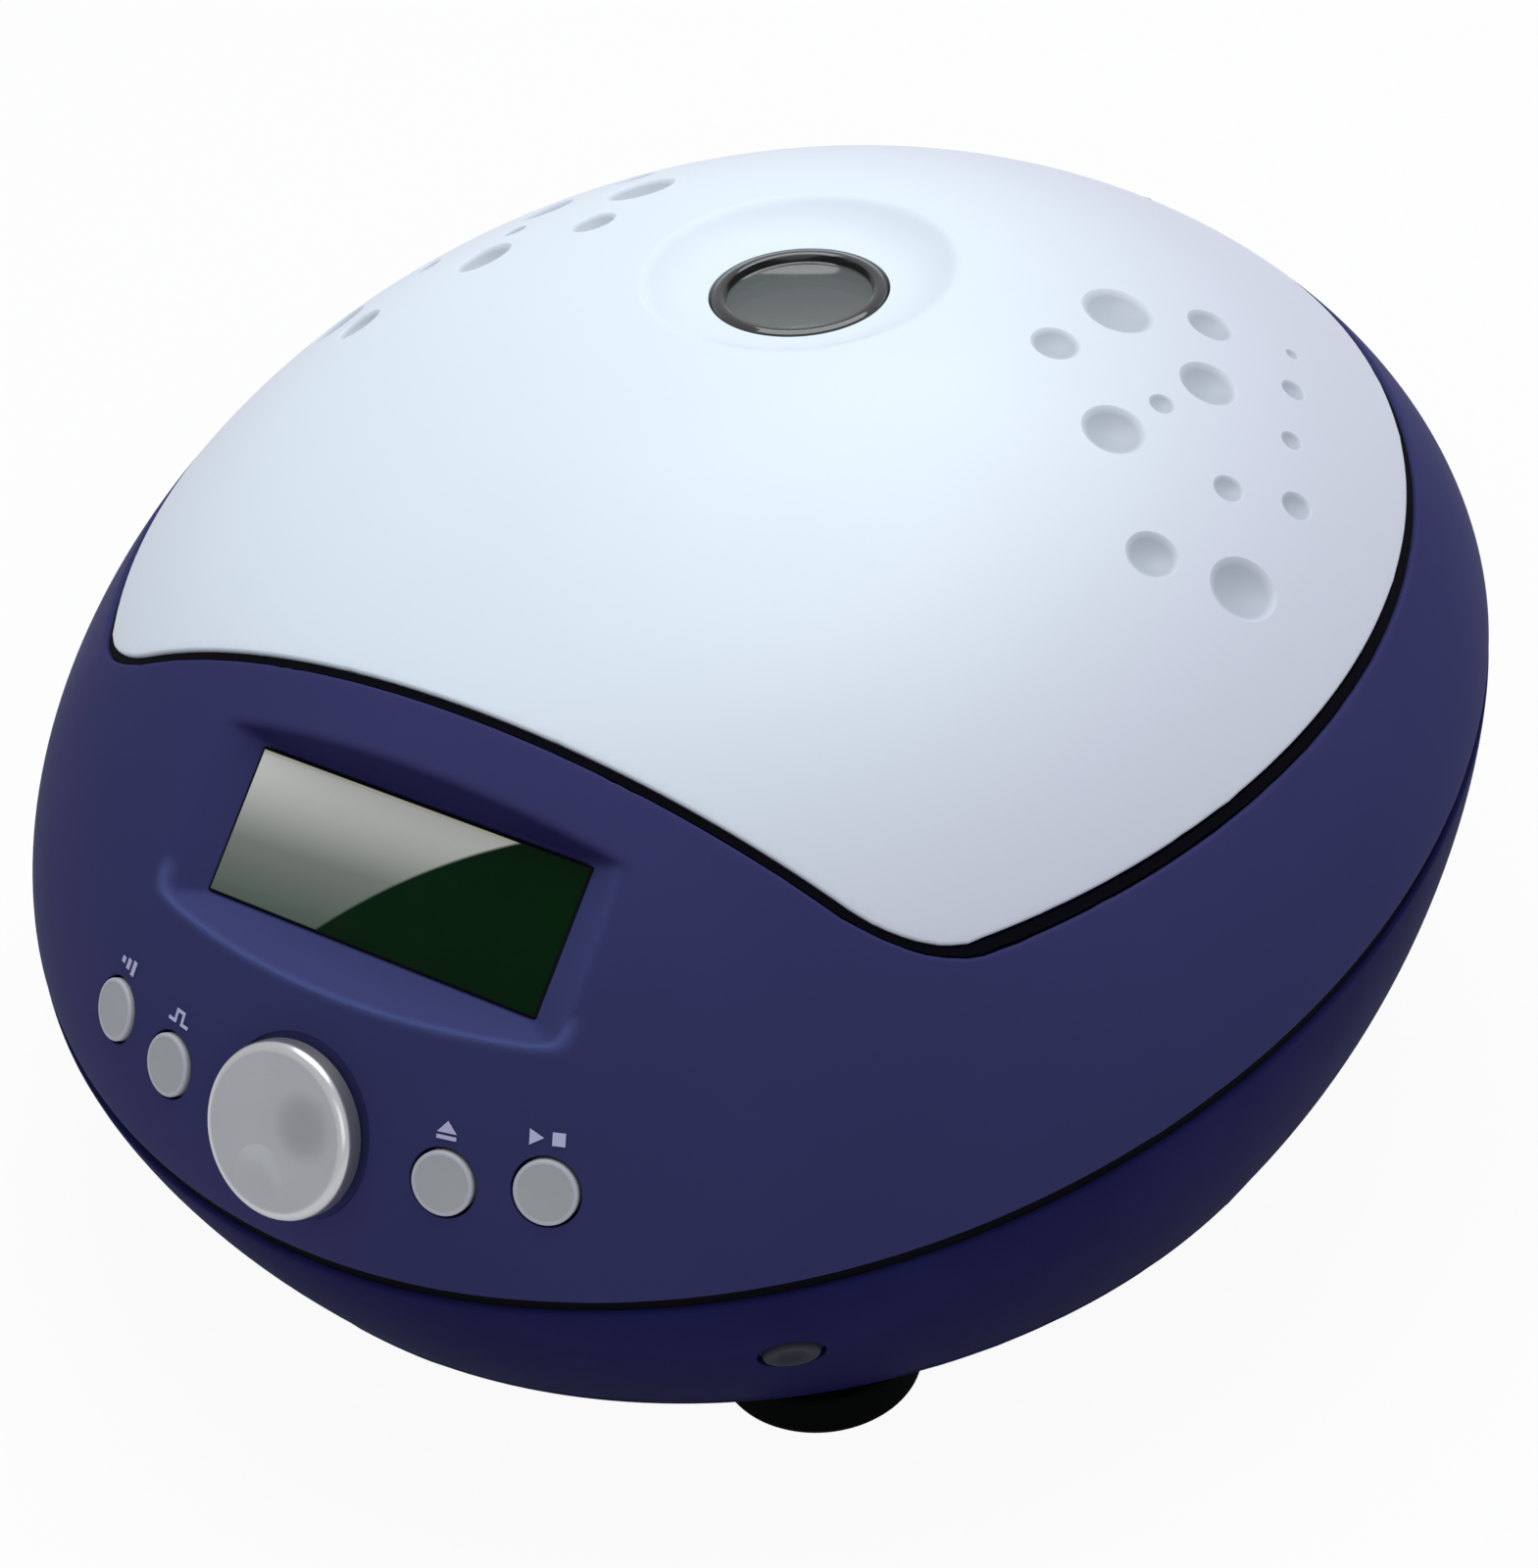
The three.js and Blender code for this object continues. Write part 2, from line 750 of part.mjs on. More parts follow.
function makeLidLiner() {
  const { inset, wall, floorZ: low, tubeRadius, tubeWall } = liner;
  const cupHigh = egg.centreZ + egg.crownRise;
  const cup = spun([
    [tubeRadius, low],
    [cupRadius, low],
    [cupRadius, cupHigh],
    [cupRadius - wall, cupHigh],
    [cupRadius - wall, low + wall],
    [tubeRadius, low + wall],
  ], bigRoundSides);
  const tube = spun([
    [tubeRadius, low],
    [tubeRadius + tubeWall, low],
    [tubeRadius + tubeWall, windowRingLow() - fitGap],
    [tubeRadius, windowRingLow() - fitGap],
  ]);
  const drum = placed(rod(cupRadius - wall, 0, cutterSize, bigRoundSides), atSpindle);
  const belowPan = solid(new THREE.BoxGeometry(cutterSize, cutterSize, cutterSize)
    .translate(0, 0, inset + wall - cutterSize / 2)
    .applyMatrix4(shutFrame));
  return shutPan(-inset - wall, -inset, lid.wall + fitGap)
    .subtract(drum)
    .add(placed(cup, atSpindle).intersect(belowPan).intersect(hollow(lid.wall + fitGap)))
    .add(placed(tube, atSpindle))
    .subtract(barrelNotch());
}

function windowRingLow() {
  return sightWindow.topZ - sightWindow.glassThick - 2 * fitGap - sightWindow.ringThick;
}

function makeWindow() {
  const { topZ, glassRadius, glassThick } = sightWindow;
  const low = topZ - glassThick;
  return spun([
    [0, low],
    [glassRadius, low],
    [glassRadius, topZ - glassThick / 4],
    [glassRadius - glassThick / 4, topZ],
    [0, topZ + glassThick / 4],
  ], rimSides);
}

function makeWindowRing() {
  const low = windowRingLow();
  const high = low + sightWindow.ringThick;
  const inner = sightWindow.glassRadius - sightWindow.dishWall;
  return spun([
    [inner, low],
    [inner + sightWindow.ringWidth, low],
    [inner + sightWindow.ringWidth, high],
    [inner, high],
  ]);
}

// Lid hinge: a pin along X between two housing knuckles, with the lid's knuckle between them
const hingeFrame = move(0, hinge.y, shutHeight(hinge.y) - hinge.drop);
const knuckleEnd = hinge.armHalf + hinge.sideGap + hinge.knuckleLong;
const hingeNotchHalf = knuckleEnd + hinge.notchGap;

function alongX(radius, x0, x1) {
  return rod(radius, x0, x1).rotateY(Math.PI / 2);
}

// A flat bar from the hinge forwards, with z measured from the plane of the lid's rim
function hingeBar(x0, x1, long, z0, z1) {
  return solid(box(x0, x1, -long, 0, z0, z1).rotateX(shutTilt).translate(0, 0, hinge.drop));
}

function barrelNotch() {
  const barrel = solid(alongX(hinge.radius + hinge.notchGap, -hingeNotchHalf, hingeNotchHalf));
  return barrel.transform(hingeFrame.elements);
}

function rimNotch() {
  const bar = hingeBar(-hingeNotchHalf, hingeNotchHalf, hinge.footLong, -lid.shutGap, liner.inset + fitGap);
  return bar.transform(hingeFrame.elements);
}

function makeHingeArm() {
  const { radius, pinRadius, armHalf, tabThick } = hinge;
  const top = liner.inset - fitGap;
  const tabLong = hinge.y - spindleY - cupRadius - fitGap;
  return solid(alongX(radius, -armHalf, armHalf))
    .add(hingeBar(-armHalf, armHalf, tabLong, top - tabThick, top))
    .subtract(solid(alongX(pinRadius + fitGap, -armHalf - overrun, armHalf + overrun)));
}

function makeHingeBracket(side) {
  const { radius, pinRadius, armHalf, sideGap, footLong } = hinge;
  const [x0, x1] = [side * (armHalf + sideGap), side * knuckleEnd].sort((a, b) => a - b);
  return solid(alongX(radius, x0, x1))
    .add(hingeBar(x0, x1, footLong, fitGap - lid.shutGap, liner.inset - 2 * fitGap))
    .subtract(solid(alongX(pinRadius + fitGap, x0 - overrun, x1 + overrun)));
}

function makeLid() {
  add(model, 'lid_shell', makeLidShell(), 'whiteLid');
  add(model, 'lid_liner', makeLidLiner(), 'paleLiner');
  add(spindle, 'lid_window', makeWindow(), 'smokedGlass');
  add(spindle, 'window_ring', makeWindowRing(), 'blackPlastic');
  const hingeGroup = groupAt(hingeFrame);
  add(hingeGroup, 'lid_hinge_arm', makeHingeArm(), 'alloy');
  add(hingeGroup, 'hinge_bracket_right', makeHingeBracket(1), 'blackPlastic');
  add(hingeGroup, 'hinge_bracket_left', makeHingeBracket(-1), 'blackPlastic');
  add(hingeGroup, 'hinge_pin', alongX(hinge.pinRadius, -knuckleEnd, knuckleEnd), 'steel');
}

// Chamber
function makeTopDeck() {
  const { wall, ledgeZ, ledgeThick } = deck;
  const collarTop = egg.centreZ + egg.crownRise;
  const collar = spun([
    [bowl.radius + bowl.wall + fitGap, ledgeZ - ledgeThick],
    [wellRadius + wall, ledgeZ - ledgeThick],
    [wellRadius + wall, collarTop],
    [wellRadius, collarTop],
    [wellRadius, ledgeZ],
    [bowl.radius + bowl.wall + fitGap, ledgeZ],
  ], bigRoundSides);
  const well = placed(rod(wellRadius, 0, cutterSize, bigRoundSides), atSpindle);
  const room = hollow(egg.wall + fitGap);
  return shutPan(lid.shutGap, lid.shutGap + wall, egg.wall + fitGap)
    .subtract(well)
    .add(placed(collar, atSpindle).subtract(lidPrism(lid.shutGap)).intersect(room))
    .subtract(barrelNotch())
    .subtract(solid(hookSlot(fitGap)));
}

function makeBowl() {
  const { radius, wall, floorZ: low, heelRadius, flangeWidth, flangeThick, holeRadius } = bowl;
  const flangeRadius = radius + flangeWidth;
  const flangeLow = deck.ledgeZ + fitGap;
  const high = flangeLow + flangeThick;
  const heel = 1 - 1 / rootTwo;
  const outerHeel = heelRadius + wall;
  return spun([
    [holeRadius, low - wall],
    [radius - heelRadius, low - wall],
    [radius + wall - outerHeel * heel, low - wall + outerHeel * heel],
    [radius + wall, low + heelRadius],
    [radius + wall, flangeLow],
    [flangeRadius, flangeLow],
    [flangeRadius, high],
    [radius, high],
    [radius, low + heelRadius],
    [radius - heelRadius * heel, low + heelRadius * heel],
    [radius - heelRadius, low],
    [holeRadius, low],
  ], bigRoundSides);
}

function makeChamberSeal() {
  const low = deck.ledgeZ + bowl.flangeThick + 2 * fitGap;
  const inner = bowl.radius + bowl.wall;
  return spun([
    [inner, low],
    [inner + chamberSeal.width, low],
    [inner + chamberSeal.width - chamberSeal.slope, low + chamberSeal.height],
    [inner + chamberSeal.slope, low + chamberSeal.height],
  ], bigRoundSides);
}

// Drive
const hubBore = shaft.radius + rotor.boreGap;

function makeRotor() {
  const { mouthRadius, mouthZ, socketRadius, socketStraight, socketDepth, wall } = rotor;
  const reach = (socketRadius + wall) * rootTwo;
  const sumLow = mouthRadius + mouthZ - reach;
  const sumHigh = mouthRadius + mouthZ + reach;
  const faceDiff = mouthRadius - mouthZ;
  const endDiff = faceDiff + (socketDepth + wall / 2) * rootTwo;
  const corner = (sum, diff) => [(sum + diff) / 2, (sum - diff) / 2];
  const [innerR, innerZ] = corner(sumLow, faceDiff);
  const webLow = innerZ - rotor.webThick;
  const profile = [
    [hubBore, rotor.hubLow],
    [rotor.hubRadius, rotor.hubLow],
    [rotor.hubRadius + rotor.wall, webLow],
    [sumLow - webLow, webLow],
    corner(sumLow, endDiff),
    corner(sumHigh, endDiff),
    corner(sumHigh, faceDiff),
    [innerR, innerZ],
    [rotor.hubRadius, innerZ],
    [rotor.hubRadius - rotor.wall / 2, rotor.hubHigh],
    [hubBore, rotor.hubHigh],
  ];
  const socket = spun([
    [0, -socketDepth],
    [rotor.tipRadius, -socketDepth],
    [socketRadius, -socketStraight],
    [socketRadius, overrun],
    [0, overrun],
  ], smallSides).rotateY(-socketLean).translate(mouthRadius, 0, mouthZ);
  let shape = solid(spun(profile, bigRoundSides));
  for (let i = 0; i < rotor.places; i++) {
    const turn = new THREE.Matrix4().makeRotationZ((2 * Math.PI * i) / rotor.places);
    shape = shape.subtract(placed(socket, turn));
  }
  return shape;
}

function makeShaft() {
  const { radius, lowZ, seatRadius, seatThick, threadRadius, threadHigh } = shaft;
  const seatTop = rotor.baseZ + rotor.hubLow - fitGap;
  const hubTop = rotor.baseZ + rotor.hubHigh;
  return spun([
    [0, lowZ],
    [radius, lowZ],
    [radius, seatTop - seatThick],
    [seatRadius, seatTop - seatThick / 2],
    [seatRadius, seatTop],
    [radius, seatTop],
    [radius, hubTop],
    [threadRadius, hubTop],
    [threadRadius, hubTop + threadHigh],
    [0, hubTop + threadHigh],
  ]);
}

function makeNut() {
  const low = rotor.baseZ + rotor.hubHigh + fitGap;
  const high = low + nut.height;
  let shape = solid(spun([
    [0, low],
    [nut.radius, low],
    [nut.radius, high - nut.crownThick],
    [nut.radius - nut.crownThick / 2, high],
    [0, high],
  ], rimSides));
  shape = shape.subtract(solid(rod(shaft.threadRadius + fitGap, low - overrun, low + shaft.threadHigh)));
  for (let i = 0; i < nut.grips; i++) {
    const turn = (2 * Math.PI * i) / nut.grips;
    const away = nut.radius + nut.gripRadius - nut.gripDepth;
    const grip = rod(nut.gripRadius, low - overrun, high + overrun, smallSides);
    shape = shape.subtract(placed(grip, move(away * Math.cos(turn), away * Math.sin(turn), 0)));
  }
  return shape;
}

function makeMotor() {
  const { radius, lowZ, highZ, flangeRadius, flangeThick, bearingRadius, bearingThick } = motor;
  const flangeLow = motorPlate.lowZ + motorPlate.thick + fitGap;
  const bore = shaft.radius + 2 * fitGap;
  const pocket = bearingRadius + fitGap;
  let shape = solid(spun([
    [pocket, lowZ],
    [radius, lowZ],
    [radius, flangeLow],
    [flangeRadius, flangeLow],
    [flangeRadius, flangeLow + flangeThick],
    [radius, flangeLow + flangeThick],
    [radius, highZ - motor.finDepth],
    [radius - motor.finDepth, highZ],
    [pocket, highZ],
    [pocket, highZ - bearingThick - fitGap],
    [bore, highZ - bearingThick - fitGap],
    [bore, lowZ + bearingThick + fitGap],
    [pocket, lowZ + bearingThick + fitGap],
  ], bigRoundSides));
  for (let i = 0; i < motor.finCount; i++) {
    const slot = box(
      radius - motor.finDepth,
      flangeRadius + overrun,
      -motor.finWidth / 2,
      motor.finWidth / 2,
      flangeLow + flangeThick,
      highZ + overrun,
    );
    shape = shape.subtract(solid(slot.rotateZ((2 * Math.PI * i) / motor.finCount)));
  }
  return shape;
}

function makeBearing(low) {
  const inner = shaft.radius + fitGap;
  return spun([
    [inner, low],
    [motor.bearingRadius, low],
    [motor.bearingRadius, low + motor.bearingThick],
    [inner, low + motor.bearingThick],
  ]);
}

function makeMotorPlate() {
  const { radius, thick, lowZ } = motorPlate;
  return spun([
    [motor.radius + fitGap, lowZ],
    [radius, lowZ],
    [radius, lowZ + thick],
    [motor.radius + fitGap, lowZ + thick],
  ], bigRoundSides);
}

function makeDamper() {
  const low = plateTopZ + fitGap;
  const high = motorPlate.lowZ - fitGap;
  const quarter = (high - low) / 4;
  return spun([
    [0, low],
    [damper.radius, low],
    [damper.radius, low + quarter],
    [damper.waist, low + 2 * quarter],
    [damper.radius, high - quarter],
    [damper.radius, high],
    [0, high],
  ], smallSides);
}

function makeShaftBoot() {
  const low = motor.highZ + fitGap;
  const lipOut = bowl.holeRadius - fitGap;
  const lipIn = lipOut - shaftBoot.lipWall;
  return spun([
    [lipIn, low],
    [shaftBoot.footRadius, low],
    [shaftBoot.footRadius, low + shaftBoot.footThick],
    [lipOut, low + shaftBoot.footThick],
    [lipOut, bowl.floorZ + shaftBoot.lipHigh],
    [lipIn, bowl.floorZ + shaftBoot.lipHigh],
  ]);
}

function makeDrive() {
  add(model, 'top_deck', makeTopDeck(), 'blueBelly');
  add(spindle, 'chamber_bowl', makeBowl(), 'steel');
  add(spindle, 'chamber_seal', makeChamberSeal(), 'rubber');
  add(spindle, 'rotor', makeRotor(), 'alloy').position.z = rotor.baseZ;
  add(spindle, 'rotor_nut', makeNut(), 'blackPlastic');
  add(spindle, 'drive_shaft', makeShaft(), 'steel');
  add(spindle, 'motor', makeMotor(), 'alloy');
  add(spindle, 'upper_bearing', makeBearing(motor.highZ - motor.bearingThick), 'steel');
  add(spindle, 'lower_bearing', makeBearing(motor.lowZ), 'steel');
  add(spindle, 'motor_plate', makeMotorPlate(), 'steel');
  add(spindle, 'shaft_boot', makeShaftBoot(), 'rubber');
  for (let i = 0; i < damper.count; i++) {
    const turn = Math.PI / 2 + (2 * Math.PI * i) / damper.count;
    const mesh = add(spindle, `motor_damper_${i + 1}`, makeDamper(), 'rubber');
    mesh.position.set(damper.pitchRadius * Math.cos(turn), damper.pitchRadius * Math.sin(turn), 0);
  }
}

// Lid lock: the lid's hook drops between the jaws and a bolt slides along X through its eye
function hookMiddle() {
  return (lock.hookFrontY + lock.hookRearY) / 2;
}

function hookSlot(gap) {
  const half = lock.hookThick / 2 + 2 * gap;
  const front = lock.hookFrontY - lock.frontRoom;
  return box(-half, half, front, lock.hookRearY + 2 * gap, lock.bodyLowZ - overrun, cutterSize);
}

function makeHook() {
  const half = lock.hookThick / 2;
  const top = shutHeight(lock.hookRearY) - fitGap + liner.inset;
  const eye = lock.boltSide / 2 + lock.boltGap;
  const plate = box(-half, half, lock.hookFrontY, lock.hookRearY, lock.hookLowZ, top);
  const footHalf = half + lock.hookFoot;
  const footLow = top - lock.hookFootThick;
  const seat = box(-footHalf, footHalf, lock.hookFrontY + liner.wall, lock.hookRearY, footLow, top);
  const lower = placed(box(-cutterSize, cutterSize, -cutterSize, cutterSize, -cutterSize, 0),
    move(0, 0, -(fitGap - liner.inset)).premultiply(shutFrame));
  const hole = box(
    -footHalf,
    footHalf,
    hookMiddle() - eye,
    hookMiddle() + eye,
    lock.boltZ - eye,
    lock.boltZ + eye,
  );
  return solid(plate).add(solid(seat)).subtract(solid(hole)).intersect(lower);
}

function jawBox(x0, x1) {
  const wall = lock.bodyWall;
  const front = lock.hookFrontY - lock.frontRoom - wall;
  const rear = lock.hookRearY + wall;
  return solid(box(x0, x1, front, rear, lock.bodyLowZ, lock.bodyTopZ));
}

function boltBore(radius, x0, x1) {
  return solid(alongX(radius, x0, x1)).transform(move(0, hookMiddle(), lock.boltZ).elements);
}

const jawHalf = lock.hookThick / 2 + 2 * fitGap + lock.bodyWall + lock.boltTravel;

function makeLockBody() {
  const side = lock.boltSide / 2 + fitGap;
  const channel = box(
    -jawHalf - overrun,
    jawHalf + overrun,
    hookMiddle() - side,
    hookMiddle() + side,
    lock.boltZ - side,
    lock.boltZ + side,
  );
  return jawBox(-jawHalf, jawHalf).subtract(solid(hookSlot(fitGap))).subtract(solid(channel));
}

function makeLockCoil() {
  const low = jawHalf + fitGap;
  const boreEnd = low + lock.rodLong + fitGap + lock.boltTravel;
  return jawBox(low, low + lock.coilLong)
    .subtract(boltBore(lock.rodRadius + fitGap, low - overrun, boreEnd));
}

function makeBolt() {
  const side = lock.boltSide / 2;
  const nose = lock.hookThick / 2 + lock.boltGap;
  const tail = jawHalf;
  const bar = box(nose, tail, hookMiddle() - side, hookMiddle() + side, lock.boltZ - side, lock.boltZ + side);
  return solid(bar).add(boltBore(lock.rodRadius, tail - side, tail + lock.rodLong));
}

function makeLock() {
  add(model, 'lid_hook', makeHook(), 'steel');
  add(model, 'lock_body', makeLockBody(), 'blackPlastic');
  add(model, 'lock_coil', makeLockCoil(), 'steel');
  add(model, 'lock_bolt', makeBolt(), 'steel');
}

// Front controls
function makeKnob() {
  const { radius, proud, edge, push, wellDepth, dimpleRadius, dimpleDepth } = knob;
  const low = push + fitGap - wellDepth;
  const body = solid(spun([
    [0, low],
    [radius, low],
    [radius, proud - edge],
    [radius - edge / 4, proud - edge / 2],
    [radius - edge / 2, proud - edge / 4],
    [radius - edge, proud],
    [0, proud],
  ], bigRoundSides));
  const ball = (dimpleRadius ** 2 + dimpleDepth ** 2) / (2 * dimpleDepth);
  const dimple = new THREE.SphereGeometry(ball, rimSides, roundSides);
  dimple.translate(knob.dimpleX, knob.dimpleY, proud + ball - dimpleDepth);
  const bore = rod(encoder.shaftRadius + fitGap, low - overrun, encoder.shaftInKnob + fitGap);
  return body.subtract(solid(dimple)).subtract(solid(bore));
}

const boardTop = controlBoard.thick / 2 - encoder.boardDrop;

function makeEncoder() {
  const low = boardTop + fitGap;
  const high = low + encoder.thick;
  const half = encoder.side / 2;
  return solid(box(-half, half, -half, half, low, high))
    .add(solid(rod(encoder.bushRadius, high - fitGap, high + encoder.bushHigh)))
    .subtract(solid(rod(encoder.shaftRadius + fitGap, high - knob.push - 2 * fitGap, high + overrun)))
    .subtract(solid(rod(encoder.plungerRadius + fitGap, low + fitGap, high)));
}

function makePlunger() {
  const low = boardTop + 2 * fitGap + knob.push + fitGap;
  return rod(encoder.plungerRadius, low, low + encoder.plungerLong);
}

function makeEncoderShaft() {
  const low = boardTop + 2 * fitGap + knob.push + fitGap + encoder.plungerLong + fitGap;
  return rod(encoder.shaftRadius, low, encoder.shaftInKnob);
}

// A button's axis meets the board's face this far below the surface
function buttonDepth(seat) {
  const inverse = knobSeat.clone().invert();
  const place = new THREE.Vector3().setFromMatrixPosition(seat).applyMatrix4(inverse);
  const out = new THREE.Vector3(0, 0, 1).transformDirection(seat).transformDirection(inverse);
  return (place.z - boardTop) / out.z;
}

function makeButton(seat) {
  const { radius, proud, travel, flangeExtra, flangeThick, flangeDrop, stemRadius, switchHigh } = button;
  const low = -(buttonDepth(seat) - switchHigh - travel - fitGap);
  return spun([
    [0, low],
    [stemRadius, low],
    [stemRadius, -flangeDrop - flangeThick],
    [radius + flangeExtra, -flangeDrop - flangeThick],
    [radius + flangeExtra, -flangeDrop],
    [radius, -flangeDrop],
    [radius, 0],
    [radius - proud / 2, (3 * proud) / 4],
    [radius - 2 * proud, proud],
    [0, proud],
  ]);
}

function makeControlBoard() {
  const { width, below, above, thick } = controlBoard;
  const low = boardTop - thick;
  let shape = placed(box(-width / 2, width / 2, -below, above, low, boardTop), knobSeat);
  for (const seat of buttonSeats) {
    const depth = buttonDepth(seat);
    shape = shape.add(placed(rod(button.stemRadius, -depth - thick / 2, button.switchHigh - depth), seat));
  }
  return shape;
}

function makeControls() {
  const dial = groupAt(knobSeat);
  add(dial, 'knob', makeKnob(), 'silver');
  add(dial, 'encoder_shaft', makeEncoderShaft(), 'steel');
  add(dial, 'encoder_plunger', makePlunger(), 'steel');
  add(dial, 'encoder_body', makeEncoder(), 'blackPlastic');
  add(model, 'control_board', makeControlBoard(), 'board');
  buttonSeats.forEach((seat, i) => {
    add(groupAt(seat), buttonNames[i], makeButton(seat), 'greyCap');
  });
  const screen = groupAt(displaySeat);
  const { width, height, glassThick, ledge, moduleThick, moduleEdge } = display;
  const glass = box(-width / 2, width / 2, -height / 2, height / 2, -glassThick, 0);
  add(screen, 'display_glass', glass, 'darkGlass');
  const moduleTop = -glassThick - ledge - 2 * fitGap;
  const halfX = width / 2 - moduleEdge;
  const halfY = height / 2 - moduleEdge;
  const module = box(-halfX, halfX, -halfY, halfY, moduleTop - moduleThick, moduleTop);
  add(screen, 'display_module', module, 'board');
}

// Rear panel
function makeInlet() {
  const z = panelMiddle();
  const { x, depth, flangeEdge, flangeThick, wall, floorThick } = inlet;
  const flangeLow = panel.y + fitGap;
  const mouth = flangeLow + flangeThick;
  let shape = panelBlock(inlet, 0, panel.y - depth, mouth)
    .add(panelBlock(inlet, flangeEdge, flangeLow, mouth))
    .subtract(panelBlock(inlet, -wall, panel.y - depth + floorThick, mouth + overrun));
  const { pinWidth, pinThick, pinLong, pinPitch, pinRise } = inlet;
  const root = panel.y - depth + floorThick;
  for (const step of [-1, 0, 1]) {
    const px = x + step * pinPitch;
    const pz = step === 0 ? z + pinRise / 2 : z - pinRise / 2;
    const halfX = pinThick / 2;
    const halfZ = pinWidth / 2;
    const pin = box(px - halfX, px + halfX, root - floorThick / 2, root + pinLong, pz - halfZ, pz + halfZ);
    shape = shape.add(solid(pin));
  }
  return shape;
}

function makeSwitchFrame() {
  const { depth, flangeEdge, flangeThick, wall } = powerSwitch;
  const flangeLow = panel.y + fitGap;
  const mouth = flangeLow + flangeThick;
  return panelBlock(powerSwitch, 0, panel.y - depth, mouth)
    .add(panelBlock(powerSwitch, flangeEdge, flangeLow, mouth))
    .subtract(panelBlock(powerSwitch, -wall, panel.y - depth + wall, mouth + overrun));
}

// The rocker is a shallow V on a pivot along X; at rest its lower half is pressed in
function makeRocker() {
  const { width, height, wall, rockerThick, rockerBend, rockerDeep } = powerSwitch;
  const half = height / 2 - wall - 2 * fitGap;
  const shape = new THREE.Shape();
  shape.moveTo(-half, rockerBend);
  shape.lineTo(-half, rockerBend - rockerThick);
  shape.lineTo(-half / 4, -rockerDeep);
  shape.lineTo(half / 4, -rockerDeep);
  shape.lineTo(half, rockerBend - rockerThick);
  shape.lineTo(half, rockerBend);
  shape.lineTo(0, 0);
  const deep = width - 2 * wall - 2 * fitGap;
  const geometry = new THREE.ExtrudeGeometry(shape, { depth: deep, bevelEnabled: false });
  geometry.translate(0, 0, -deep / 2);
  const turn = new THREE.Matrix4().makeBasis(
    new THREE.Vector3(0, 0, 1),
    new THREE.Vector3(0, 1, 0),
    new THREE.Vector3(-1, 0, 0),
  );
  return geometry.applyMatrix4(turn).rotateX(rockerTilt);
}

function makeRearPanel() {
  add(model, 'power_inlet', makeInlet(), 'blackPlastic');
  add(model, 'switch_frame', makeSwitchFrame(), 'blackPlastic');
  const rocker = add(model, 'switch_rocker', makeRocker(), 'blackPlastic');
  rocker.position.set(powerSwitch.x, panel.y + powerSwitch.flangeThick - powerSwitch.pivotIn, panelMiddle());
}

// Emergency lid release and power board
function makeReleasePlug() {
  const { radius, proud, long, neckIn, neckLong } = releasePlug;
  const inner = -egg.wall - 2 * fitGap;
  return spun([
    [0, -long],
    [radius / 2, -long],
    [radius - neckIn, inner - neckLong],
    [radius, inner],
    [radius, 0],
    [radius - proud, proud],
    [0, proud],
  ]);
}

function makePowerBoard() {
  const { width, depth, thick, frontY, lift, postRadius, postInset } = powerBoard;
  const low = plateTopZ + fitGap;
  const boardLow = low + lift;
  const boardHigh = boardLow + thick;
  const half = width / 2;
  let shape = solid(box(-half, half, frontY, frontY + depth, boardLow, boardHigh));
  for (const x of [-half + postInset, half - postInset]) {
    for (const y of [frontY + postInset, frontY + depth - postInset]) {
      shape = shape.add(placed(rod(postRadius, low, boardLow + thick / 2, smallSides), move(x, y, 0)));
    }
  }
  const middle = frontY + depth / 2;
  const { coilSide, coilHigh, capRadius, capHigh, sinkLong, sinkThick, sinkHigh } = powerBoard;
  const root = boardLow + thick / 2;
  const seated = (x, long, deep, high) =>
    solid(box(x - long / 2, x + long / 2, middle - deep / 2, middle + deep / 2, root, boardHigh + high));
  return shape
    .add(seated(-half / 2, coilSide, coilSide, coilHigh))
    .add(seated((3 * half) / 5, sinkLong, sinkThick, sinkHigh))
    .add(placed(rod(capRadius, root, boardHigh + capHigh), move(0, middle, 0)));
}

makeBase();
makeLid();
makeDrive();
makeLock();
makeControls();
makeRearPanel();
add(groupAt(plugSeat), 'release_plug', makeReleasePlug(), 'plugGrey');
add(model, 'power_board', makePowerBoard(), 'board');

// The origin is on the floor, below the middle of the whole
const extent = new THREE.Box3().setFromObject(model, true);
const centre = extent.getCenter(new THREE.Vector3());
model.position.set(-centre.x, -centre.y, -extent.min.z);

export default part;
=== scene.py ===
import json
import math
import bmesh
import bpy
from mathutils import Matrix, Vector

